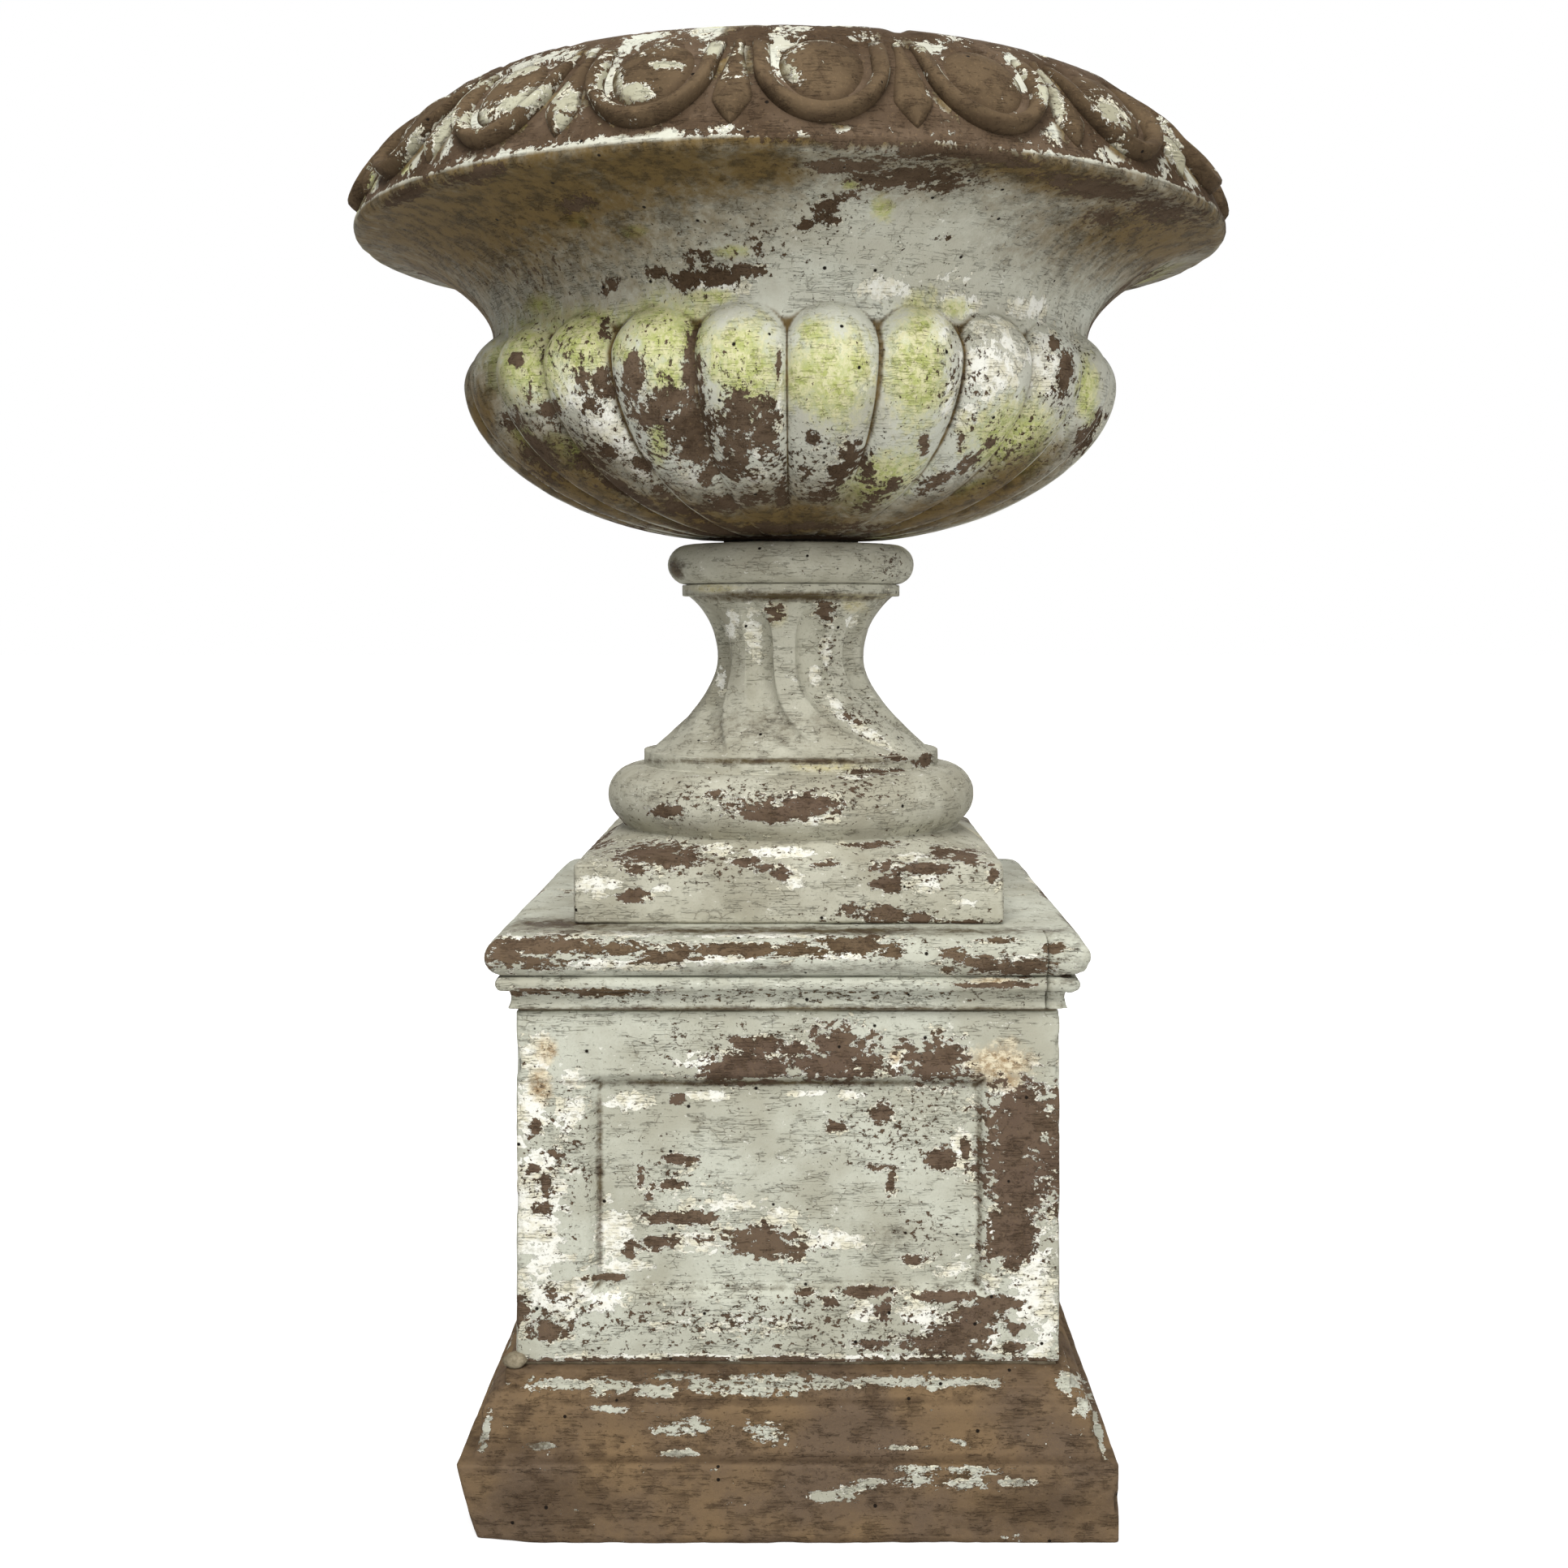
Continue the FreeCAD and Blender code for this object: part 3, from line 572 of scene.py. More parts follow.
def facing(points, normals):
    """1 where a skin looks towards the photograph's camera, 0 where it looks away."""
    return smooth((unit(EYE - points) * normals).sum(axis=-1), 0.0, GRAZING)


def oval(pixels, x, y, wide, high, tilt=0.0, thinness=0.0):
    """1 in the middle of a patch, 0 on its edge, below 0 outside; less all over if it is thin."""
    turn = np.radians(tilt)
    dx, dy = pixels[0] - x, pixels[1] - y
    along = (dx * np.cos(turn) + dy * np.sin(turn)) / max(wide, SMALLEST_PATCH)
    aside = (dy * np.cos(turn) - dx * np.sin(turn)) / max(high, SMALLEST_PATCH)
    return 1 - thinness - np.hypot(along, aside)


def patch_field(pixels, patches):
    """The highest value of all patches, from -1 to 1."""
    best = np.full(pixels[0].shape, -1.0)
    for patch in patches:
        best = np.maximum(best, oval(pixels, *patch))
    return np.clip(best, -1, 1)


def wild_layers(points, levels):
    """Chance patches for the sides that the photograph doesn't show: a lower level gives more of a kind."""
    layers = {}
    for order, (kind, size) in enumerate(WILD_SIZES.items()):
        level = levels.get(kind, WILD_NONE)
        field = swinging(points, size, WILD_SEED + WILD_SEED_STEP * order, WILD_OCTAVES, level)
        layers[kind] = np.clip(field * WILD_CONTRAST, -1, 1)
    return layers


def weathering(points, normals, patches, stand, wild):
    """Layers for a skin: patches placed on the photographed side, chance ones on the others."""
    front = facing(points, normals)
    pixels = photo_pixels(points, stand)

    def field(kind):
        return mix(wild[kind], patch_field(pixels, patches.get(kind, [])), front)

    layers = {kind: field(kind) for kind in KINDS}
    if "coat" in patches:
        # Where most paint is gone, the patches say where some is left.
        layers["bare"] = -field("coat")
    return layers


def weighted(field):
    """A field with a firmer outside, so that fine noise strays into patches more than out of them."""
    return np.where(field > 0, FIRM_INSIDE * field, FIRM_OUTSIDE * field)


# Patches are (x, y, half width, half height[, tilt[, thinness]]) in pixels of the photograph.
DIE_PATCHES = {
    "bare": [
        (1020, 1312, 62, 20), (1042, 1285, 36, 22), (939, 1314, 68, 17), (921, 1286, 14, 9),
        (949, 1288, 16, 12), (980, 1294, 22, 13), (1154, 1308, 42, 26), (1268, 1390, 44, 58),
        (1258, 1445, 45, 58), (1248, 1512, 30, 46), (1034, 1388, 12, 9), (1091, 1372, 13, 12),
        (1164, 1428, 16, 14), (1087, 1440, 18, 6), (1103, 1456, 6, 14), (1136, 1551, 20, 6),
        (1195, 1415, 5, 12), (948, 1532, 60, 19), (820, 1533, 24, 10), (781, 1541, 8, 11),
        (850, 1500, 44, 8), (828, 1459, 24, 6), (805, 1474, 7, 10), (795, 1446, 6, 18),
        (845, 1428, 20, 7), (662, 1441, 10, 6), (678, 1459, 7, 20), (673, 1488, 14, 7),
        (690, 1421, 10, 8), (665, 1388, 6, 10), (646, 1615, 11, 14), (683, 1638, 27, 12),
        (685, 1592, 8, 10), (753, 1574, 28, 4), (1075, 1591, 42, 7), (1001, 1592, 14, 5),
        (1093, 1615, 12, 14), (1029, 1605, 12, 6), (1174, 1598, 38, 7), (1210, 1620, 38, 13),
        (1258, 1637, 18, 8), (1160, 1657, 54, 13), (1075, 1657, 26, 7), (1256, 1660, 14, 7),
        (1235, 1607, 30, 10), (1195, 1640, 40, 10), (838, 1355, 10, 7), (960, 1676, 330, 3),
    ],
    "pale": [
        (670, 1490, 36, 105), (660, 1370, 22, 42), (705, 1376, 18, 30), (665, 1305, 18, 30),
        (760, 1518, 24, 34), (768, 1562, 36, 8), (866, 1532, 34, 14), (900, 1484, 44, 8),
        (975, 1498, 22, 10), (1028, 1527, 46, 12), (1278, 1590, 30, 82), (1228, 1515, 14, 14),
        (1226, 1580, 11, 14), (1135, 1622, 34, 17), (1066, 1616, 18, 14), (1230, 1645, 12, 22),
        (1075, 1673, 120, 5), (877, 1309, 36, 13), (874, 1350, 24, 7), (1006, 1347, 24, 5),
        (1053, 1348, 18, 6), (1190, 1410, 12, 32), (745, 1602, 36, 16), (690, 1600, 46, 30),
        (840, 1672, 180, 4), (1244, 1352, 16, 22), (780, 1358, 30, 12), (1110, 1312, 8, 14),
        (900, 1630, 300, 46, 0, 0.9), (860, 1480, 130, 110, 0, 1), (700, 1330, 80, 80, 0, 0.9),
        (1180, 1560, 120, 60, 0, 0.95),
    ],
    "lichen": [
        (1237, 1310, 42, 26), (1250, 1332, 18, 16), (1108, 1302, 7, 9), (680, 1297, 13, 18),
        (672, 1340, 14, 22),
    ],
    # Grime patches on the die: painted shade along the top, sides and bottom of the sunk panel, a dark line
    # at the die's foot, and one broad darker patch low on the panel.
    "grime_and_shade": [
        (975, 1334, 250, 4), (975, 1690, 340, 8), (744, 1455, 5, 130, 0, 0.2),
        (1212, 1450, 6, 126, 0, 0.3), (975, 1586, 240, 4, 0, 0.5), (1110, 1520, 130, 70, 0, 1.15),
    ],
    "chips": [
        (850, 1500, 60, 20), (828, 1440, 50, 36), (1145, 1515, 40, 32), (1075, 1657, 60, 20),
        (1110, 1390, 110, 60), (690, 1430, 50, 90), (1180, 1640, 110, 50), (1260, 1480, 50, 130),
        (930, 1300, 130, 40), (900, 1632, 300, 46), (690, 1620, 60, 50),
    ],
}
CAP_PATCHES = {
    "bare": [
        (628, 1176, 28, 20), (702, 1167, 100, 13), (664, 1185, 42, 11), (753, 1167, 62, 10),
        (906, 1171, 104, 9), (830, 1177, 46, 9), (985, 1170, 44, 11), (1062, 1166, 54, 11),
        (1105, 1171, 12, 9), (1182, 1176, 18, 9), (1177, 1195, 11, 6), (1255, 1192, 54, 10),
        (1215, 1185, 40, 8), (1235, 1159, 24, 4), (1304, 1168, 16, 6), (1228, 1214, 50, 4),
        (660, 1222, 32, 3), (740, 1222, 60, 2),
    ],
    "pale": [
        (779, 1187, 110, 8), (893, 1182, 64, 6), (1036, 1178, 42, 5), (1268, 1183, 22, 8),
        (640, 1158, 30, 5), (750, 1150, 120, 5), (960, 1152, 120, 4), (1200, 1185, 20, 5),
    ],
    "lichen": [(1228, 1209, 26, 5)],
    "chips": [(760, 1175, 180, 22), (1050, 1165, 120, 20), (1240, 1190, 90, 26), (975, 1225, 360, 12)],
    # Grime patches on the cap: dark joint lines above and below it, and painted shade under its half-round,
    # which faces down.
    "grime_and_shade": [(700, 1138, 90, 8), (975, 1147, 330, 5), (975, 1244, 350, 3), (970, 1193, 400, 16, 0, 1)],
}
SOCLE_PATCHES = {
    "bare": [
        (797, 1054, 60, 14), (779, 1070, 25, 10), (913, 1061, 17, 7), (954, 1077, 12, 12),
        (933, 1071, 10, 6), (1011, 1064, 17, 5), (776, 1104, 18, 8), (1083, 1068, 15, 7),
        (1122, 1070, 44, 7), (1154, 1050, 14, 8), (1190, 1054, 24, 11), (1218, 1075, 8, 14),
        (1090, 1089, 20, 9), (1040, 1120, 10, 9), (1083, 1127, 24, 12), (1126, 1132, 18, 8),
        (1179, 1137, 34, 4), (922, 994, 36, 12), (992, 994, 36, 14), (945, 1006, 30, 7),
        (815, 999, 20, 8), (875, 978, 13, 5), (948, 755, 11, 12), (1013, 754, 12, 13),
        (1048, 889, 17, 5, 33), (1098, 934, 19, 4, 12), (1077, 951, 32, 3), (1135, 938, 7, 9, 40),
        (1070, 1041, 34, 4),
    ],
    "pale": [
        (876, 1047, 22, 8), (736, 1091, 30, 13), (972, 1080, 15, 14), (1133, 1086, 22, 14),
        (1119, 1057, 20, 6), (958, 1050, 44, 7), (808, 1095, 13, 5), (1004, 1010, 24, 6),
        (1048, 957, 22, 4), (923, 777, 12, 36, -8), (884, 838, 6, 18), (1057, 898, 40, 9, 34),
        (1013, 805, 7, 22), (1044, 763, 8, 10), (897, 768, 9, 18), (1000, 830, 7, 12),
        (1025, 868, 14, 6, 45), (1183, 1112, 14, 6),
    ],
    "lichen": [
        (954, 757, 12, 16), (875, 725, 34, 6), (1048, 746, 16, 10), (1040, 735, 70, 4),
        (1013, 944, 44, 8),
    ],
    # Grime patches on the socle: painted shade on the flare and in two level lines, under the neck and at the
    # top of the foot, and two smaller darker patches on the left.
    "grime_and_shade": [
        (970, 735, 120, 6), (960, 938, 160, 4), (930, 895, 200, 70, 0, 1), (795, 985, 60, 40, 0, 1.1),
        (826, 704, 12, 16),
    ],
    "chips": [
        (1050, 970, 60, 34), (1089, 696, 34, 22), (900, 985, 120, 30), (850, 1060, 120, 30),
        (1130, 1070, 90, 40), (1090, 1128, 110, 18), (1060, 890, 50, 26, 35), (1015, 800, 20, 70),
    ],
}
BASE_PATCHES = {
    "coat": [
        (710, 1706, 46, 7), (745, 1710, 12, 9), (769, 1709, 22, 7), (817, 1714, 24, 8),
        (833, 1695, 26, 6), (868, 1707, 16, 9), (935, 1706, 44, 10), (943, 1717, 22, 5),
        (753, 1737, 24, 4), (831, 1762, 17, 6), (857, 1758, 19, 8), (948, 1764, 24, 12),
        (672, 1782, 16, 4), (839, 1790, 17, 4), (604, 1761, 4, 20, 12), (980, 1706, 26, 11),
        (1025, 1705, 40, 7), (1092, 1702, 48, 5), (1162, 1706, 17, 7), (1201, 1702, 36, 5),
        (1322, 1704, 14, 12), (1339, 1732, 10, 11), (1358, 1763, 4, 26, -14), (1117, 1784, 22, 4),
        (1184, 1777, 17, 4, 20), (1053, 1836, 28, 6, -12), (1016, 1844, 15, 5), (1081, 1826, 18, 5),
        (1134, 1810, 30, 4), (1198, 1811, 24, 6), (1134, 1824, 27, 5), (1193, 1827, 23, 6),
        (1260, 1826, 17, 4),
    ],
    "chips": [(960, 1708, 330, 22), (1120, 1820, 160, 26), (900, 1765, 130, 22), (1150, 1780, 110, 16)],
    # Grime patches on the base: painted shade in the lines of its mouldings and along its foot on the floor,
    # and darker patches on the block.
    "grime_and_shade": [
        (975, 1797, 430, 5), (975, 1900, 400, 6), (690, 1850, 70, 34), (710, 1895, 16, 8),
        (975, 1727, 340, 5), (975, 1689, 340, 6), (1280, 1860, 90, 30), (640, 1780, 60, 14),
    ],
}
RIM_PATCHES = {
    "coat": [
        (631, 86, 60, 8, -19), (725, 60, 46, 9, -10), (772, 54, 32, 12), (642, 121, 44, 10, -24),
        (581, 147, 18, 11), (540, 165, 10, 28, 20), (508, 185, 12, 22, 24), (746, 103, 15, 20),
        (779, 114, 17, 9), (697, 124, 17, 19), (687, 152, 11, 12), (656, 133, 38, 5, -37),
        (623, 166, 22, 5, -32), (772, 153, 22, 3), (788, 46, 42, 13), (866, 39, 42, 7),
        (956, 39, 26, 11), (961, 54, 18, 6), (1057, 47, 24, 7), (1114, 50, 26, 8),
        (961, 86, 17, 11, 38), (946, 65, 7, 11), (873, 60, 14, 7), (885, 79, 6, 17, 35),
        (913, 72, 6, 19, -8), (817, 80, 22, 4), (774, 114, 19, 9), (1034, 158, 13, 5),
        (1156, 49, 20, 5), (1140, 60, 20, 4), (1242, 68, 7, 10), (1253, 100, 8, 12),
        (1293, 124, 11, 34, -28), (1298, 159, 12, 13), (1360, 135, 12, 28, -38), (1368, 189, 14, 11),
        (1432, 199, 8, 15), (1448, 191, 7, 40, -28), (1459, 218, 18, 8, 35), (1154, 127, 22, 3, 42),
        (1282, 98, 11, 6, 30), (1322, 197, 26, 3, 12), (477, 237, 24, 4, -32), (730, 178, 118, 6, -7),
        (800, 170, 50, 5, -3), (640, 188, 28, 5, -12), (455, 225, 7, 14), (858, 50, 20, 8),
    ],
    "lichen": [(487, 206, 15, 11), (449, 220, 8, 14), (642, 152, 14, 8), (1000, 151, 30, 3)],
    "grime_and_shade": [
        (820, 152, 60, 6), (1010, 146, 70, 8), (1190, 150, 60, 8), (640, 165, 50, 8), (1050, 60, 40, 8),
    ],
}
BOWL_PATCHES = {
    "bare": [
        (1061, 172, 92, 8), (1155, 187, 92, 10), (1034, 204, 38, 8), (1069, 223, 28, 9),
        (1128, 220, 56, 12), (1155, 231, 20, 7), (1024, 250, 16, 9), (1005, 258, 16, 7),
        (1045, 242, 10, 8), (983, 277, 10, 6), (1018, 271, 12, 6), (930, 306, 7, 10),
        (860, 314, 14, 10), (836, 344, 16, 11), (874, 341, 34, 11), (916, 333, 22, 8),
        (1155, 293, 15, 4, -12), (706, 250, 20, 9), (746, 354, 10, 11), (802, 336, 12, 7),
        (848, 319, 6, 11), (580, 218, 40, 9, -15), (497, 239, 26, 8, -25), (1350, 232, 62, 12, 12),
        (1433, 260, 40, 12, 15), (1221, 194, 62, 9, 6), (1355, 270, 16, 9), (630, 443, 8, 8),
        (646, 483, 6, 12), (672, 505, 13, 11), (622, 521, 12, 18, -40), (715, 564, 22, 13, 35),
        (734, 467, 20, 14), (712, 470, 8, 24, -14), (724, 500, 10, 16), (742, 403, 8, 12),
        (745, 480, 14, 11), (745, 556, 20, 9, 25), (785, 572, 13, 7, 25), (806, 601, 24, 10, 28),
        (833, 628, 28, 8, 20), (774, 467, 12, 32), (847, 462, 12, 50), (828, 494, 36, 16),
        (801, 505, 26, 20), (841, 521, 28, 26), (849, 547, 26, 26), (868, 582, 16, 20),
        (881, 622, 28, 12), (855, 636, 26, 7), (900, 497, 16, 22), (940, 510, 16, 24),
        (903, 534, 22, 32), (935, 534, 22, 26), (903, 574, 18, 28), (954, 448, 4, 16),
        (927, 614, 24, 8), (959, 606, 8, 20), (995, 542, 8, 12), (1040, 564, 12, 24),
        (1027, 585, 18, 15), (989, 582, 8, 10), (1008, 609, 26, 9), (1062, 582, 10, 22),
        (1134, 547, 5, 12), (1075, 614, 28, 7, -28), (1097, 593, 13, 5, -20), (1178, 545, 6, 12),
        (1214, 545, 14, 7, -40), (1188, 569, 16, 8, -40), (1147, 596, 22, 8, -30), (1293, 422, 7, 12),
        (1308, 459, 8, 32, 10), (1300, 489, 6, 10, 20), (1335, 537, 8, 28, 35), (1351, 515, 6, 14, 30),
        (660, 560, 16, 30, -45), (760, 600, 60, 6, 32), (945, 650, 120, 6), (890, 655, 60, 5),
    ],
    "pale": [
        (694, 467, 22, 38, -14), (734, 510, 28, 24), (758, 542, 38, 22, 40), (785, 582, 22, 10, 30),
        (737, 440, 9, 10), (651, 467, 12, 26), (864, 531, 7, 56, -12), (930, 558, 14, 12),
        (924, 585, 18, 13), (849, 588, 22, 13), (1214, 448, 42, 54), (1281, 448, 22, 44),
        (1188, 510, 14, 26, 20), (1164, 486, 7, 26, 15), (1147, 400, 22, 22), (1088, 354, 36, 15),
        (1176, 376, 26, 15), (1110, 430, 16, 30), (955, 480, 5, 60), (1240, 500, 22, 14),
        (1000, 322, 130, 36, 0, 1.2), (1180, 340, 60, 16, 0, 0.7), (1235, 305, 90, 60, 0, 1.25),
        (1040, 455, 30, 34), (880, 352, 46, 14), (905, 620, 60, 10), (1262, 378, 30, 14),
    ],
    "lichen": [
        (651, 416, 32, 15), (689, 416, 22, 18), (705, 435, 13, 15), (731, 395, 26, 15),
        (814, 392, 26, 15), (772, 440, 11, 13), (817, 459, 26, 30), (806, 542, 12, 32),
        (905, 425, 34, 24), (924, 467, 26, 24), (876, 440, 11, 42), (995, 408, 20, 18),
        (987, 462, 30, 38), (1040, 451, 30, 34), (1131, 400, 24, 20), (1121, 473, 26, 46),
        (1255, 531, 36, 26, -35), (1196, 601, 32, 9, -25), (1335, 481, 14, 42), (1255, 580, 32, 7, -25),
        (868, 365, 32, 10), (660, 376, 18, 15), (778, 285, 16, 9), (898, 309, 24, 8),
        (1082, 255, 15, 17), (1042, 228, 13, 6), (706, 271, 15, 11), (700, 560, 40, 16, 35),
        (1172, 380, 20, 14), (640, 540, 26, 14, 40), (700, 420, 80, 44), (815, 410, 64, 50),
        (912, 452, 44, 62), (650, 450, 60, 50), (1022, 462, 50, 64), (1125, 450, 40, 80),
        (1240, 540, 60, 50, -35), (1080, 590, 60, 30, -30),
    ],
    # Grime patches on the bowl: painted shade with a brown wash in the cavetto under the lip, and painted
    # shade under the belly and down its far left side.
    "grime_and_shade": [
        (560, 270, 280, 130), (640, 240, 300, 110), (790, 206, 215, 80), (930, 205, 90, 46),
        (1000, 170, 440, 20), (1280, 212, 250, 40, 14), (1420, 285, 180, 74), (700, 600, 170, 64, 30),
        (850, 640, 210, 44, 12), (960, 645, 170, 52), (1150, 632, 170, 30, -20),
        (1230, 600, 110, 32, -30), (586, 520, 36, 80),
    ],
    "chips": [
        (1008, 263, 40, 30), (860, 330, 70, 40), (1134, 596, 40, 24), (740, 480, 60, 60),
        (820, 480, 60, 90), (910, 520, 50, 90), (1300, 460, 40, 70), (660, 520, 60, 60),
        (1140, 200, 160, 40), (1400, 260, 100, 40), (800, 560, 90, 80, 25), (970, 580, 120, 60),
        (700, 540, 90, 60, 30), (1240, 560, 90, 46, -35), (690, 430, 60, 50), (1180, 470, 50, 70),
        (930, 300, 150, 60, 0, 0.4), (640, 330, 90, 60, 0, 0.4),
    ],
}


# Colours, as seen in even light; the darker tones of the grime layer and of the packing also stand for
# painted shade

SCREEN_WHITE = 255.0
SCREEN_TOE = 0.04045
SCREEN_TOE_SLOPE = 12.92
SCREEN_OFFSET = 0.055
SCREEN_POWER = 2.4


def linear(red, green, blue):
    """A colour given as it shows on a screen, from 0 to 255, as a linear colour."""
    shown = np.array([red, green, blue]) / SCREEN_WHITE
    low = shown / SCREEN_TOE_SLOPE
    high = ((shown + SCREEN_OFFSET) / (1 + SCREEN_OFFSET)) ** SCREEN_POWER
    return tuple(float(v) for v in np.where(shown <= SCREEN_TOE, low, high)) + (1.0,)


UNDERCOAT = linear(234, 233, 223)
UNDERCOAT_CREAM = linear(216, 211, 188)
CLAY = linear(102, 86, 70)
CLAY_RED = linear(95, 79, 66)
CLAY_OCHRE = linear(122, 101, 75)
CLAY_DARK = linear(70, 56, 42)
CLAY_RIM = linear(98, 82, 62)
CLAY_RIM_DARK = linear(80, 66, 49)
DIRT = linear(78, 66, 42)
PINHOLE = linear(30, 25, 20)
WHITE = (1.0, 1.0, 1.0, 1.0)
FLOOR_GREY = (0.62, 0.62, 0.62, 1.0)

# Pairs of a lighter and a darker, or a stronger and a paler tone
GREY_COAT = (linear(190, 191, 176), linear(166, 164, 147))
RIM_COAT = (linear(178, 176, 154), linear(150, 146, 124))
SOCLE_COAT = (linear(187, 185, 168), linear(160, 156, 138))
BOWL_COAT = (linear(201, 202, 188), linear(184, 182, 166))
# Tones that the grime layer lays over staining and over painted shade alike.
BROWN_DIRT_AND_SHADE = (DIRT, CLAY_DARK)
# The bowl's brown wash, darkened to serve also as painted shade under the lip and belly.
BOWL_DIRT_AND_SHADE = (linear(100, 80, 42), linear(70, 55, 27))
GREEN_LICHEN = (linear(167, 175, 78), linear(211, 207, 156))
RUST_LICHEN = (linear(148, 116, 74), linear(224, 212, 182))
STAIN = (linear(196, 186, 140), linear(206, 200, 176))
MORTAR_GREYS = (linear(124, 114, 94), linear(156, 146, 124))
# Nearly black greys of the packing between bowl and socle: painted shade of the gap under the bowl.
PACKING_SHADE_GREYS = (linear(30, 27, 23), linear(58, 52, 44))


# Materials

EVEN = (1.0, 1.0, 1.0)
BRUSHED = (1.0, 1.0, 14.0)
SPECULAR = 0.06
MARGIN_REACH = 0.2
CHIP_PULL = 0.1
CRAZING_DARKNESS = 0.35
SOOT_AND_SHADE_RANGE = (-0.6, 0.65)
PAINT_DEPTH = 1.1
PAINT_ROUGHNESS = 0.66
CLAY_ROUGHNESS = 0.86
# How far each layer of old paint stands up or lies back, as shares of its depth
RELIEF = {
    "bare": -0.6, "pale": -0.3, "chips": -0.5, "pinholes": -0.7,
    "crazed": -0.3, "hairs": -0.4, "fine": 0.3, "speckle": 0.5,
}
# Sockets of the node that mixes two colours
MIX_SHARE, MIX_FIRST, MIX_SECOND = 0, 6, 7
MIX_RESULT = 2


class Graph:
    """A short way to write the nodes of a material or world."""

    def __init__(self, owner):
        owner.use_nodes = True
        self.owner = owner
        self.nodes = owner.node_tree.nodes
        self.links = owner.node_tree.links

    def node(self, kind, inputs=None, **settings):
        made = self.nodes.new(kind)
        for key, value in settings.items():
            setattr(made, key, value)
        for key, value in (inputs or {}).items():
            self.put(value, made.inputs[key])
        return made

    def put(self, value, socket):
        if isinstance(value, bpy.types.NodeSocket):
            self.links.new(value, socket)
        else:
            socket.default_value = value

    def shade(self, **inputs):
        """Inputs of the material's shader, named with underscores."""
        shader = self.nodes["Principled BSDF"]
        for key, value in inputs.items():
            self.put(value, shader.inputs[key.replace("_", " ")])

    def layer(self, name):
        return self.node("ShaderNodeAttribute", attribute_name=name).outputs["Fac"]

    def object_place(self):
        return self.node("ShaderNodeTexCoord").outputs["Object"]

    def place(self, stretch):
        inputs = {0: self.object_place(), 1: stretch}
        return self.node("ShaderNodeVectorMath", inputs, operation="MULTIPLY").outputs[0]

    def texture(self, kind, place, size, inputs=None, **settings):
        common = {"Vector": place, "Scale": 1 / (size * MM)}
        return self.node(kind, common | (inputs or {}), **settings).outputs

    def noise(self, place, size, detail, roughness, distortion=0.0):
        inputs = {"Detail": detail, "Roughness": roughness, "Distortion": distortion}
        return self.texture("ShaderNodeTexNoise", place, size, inputs)["Fac"]

    def math(self, operation, *values):
        return self.node("ShaderNodeMath", dict(enumerate(values)), operation=operation).outputs[0]

    def times(self, first, second):
        return self.math("MULTIPLY", first, second)

    def most(self, first, second):
        return self.math("MAXIMUM", first, second)

    def step(self, value, low, high, least=0.0, most=1.0):
        """A smooth step from least to most, while a value passes from low to high."""
        inputs = {"Value": value, "From Min": low, "From Max": high, "To Min": least, "To Max": most}
        return self.node("ShaderNodeMapRange", inputs, interpolation_type="SMOOTHSTEP").outputs[0]

    def mix(self, share, first, second):
        inputs = {MIX_SHARE: share, MIX_FIRST: first, MIX_SECOND: second}
        return self.node("ShaderNodeMix", inputs, data_type="RGBA").outputs[MIX_RESULT]

    def tint(self, colour, other, value, low, high, share=1.0):
        """A colour mixed towards another, while a value passes from low to high."""
        return self.mix(self.times(self.step(value, low, high), share), colour, other)

    def flakes(self, place, size):
        """A chance value for each angular flake of the given size."""
        cells = self.texture("ShaderNodeTexVoronoi", place, size)
        return self.node("ShaderNodeSeparateColor", {0: cells["Color"]}).outputs[0]

    def cracks(self, place, size, width, core):
        """Thin lines along the edges of cells of the given size."""
        cells = self.texture("ShaderNodeTexVoronoi", place, size, feature="DISTANCE_TO_EDGE")
        return self.step(cells["Distance"], width, width * core)

    def specks(self, place, size, share, radius, core):
        """Small round spots, on a share of the cells of the given size."""
        cells = self.texture("ShaderNodeTexVoronoi", place, size)
        chance = self.node("ShaderNodeSeparateColor", {0: cells["Color"]}).outputs[0]
        near = self.step(cells["Distance"], radius, radius * core)
        return self.times(near, self.math("LESS_THAN", chance, share))

    def warped(self, place, size, reach, detail):
        """Places moved about by noise, so that straight lines waver."""
        drift = self.texture("ShaderNodeTexNoise", place, size, {"Detail": detail})["Color"]
        inputs = {0: drift, 1: (reach * MM,) * 3, 2: place}
        return self.node("ShaderNodeVectorMath", inputs, operation="MULTIPLY_ADD").outputs[0]

    def seen(self):
        """1 for rays from the camera, also by way of a mirror or glass."""
        path = self.node("ShaderNodeLightPath").outputs
        return self.most(self.most(path["Is Camera Ray"], path["Is Glossy Ray"]), path["Is Transmission Ray"])

    def finish(self, colour, roughness, height, depth):
        bump = self.node("ShaderNodeBump", {"Height": height, "Distance": depth * MM, "Strength": 1.0})
        self.shade(Base_Color=colour, Roughness=roughness, Normal=bump.outputs["Normal"])
        self.shade(Specular_IOR_Level=SPECULAR)
        return self.owner


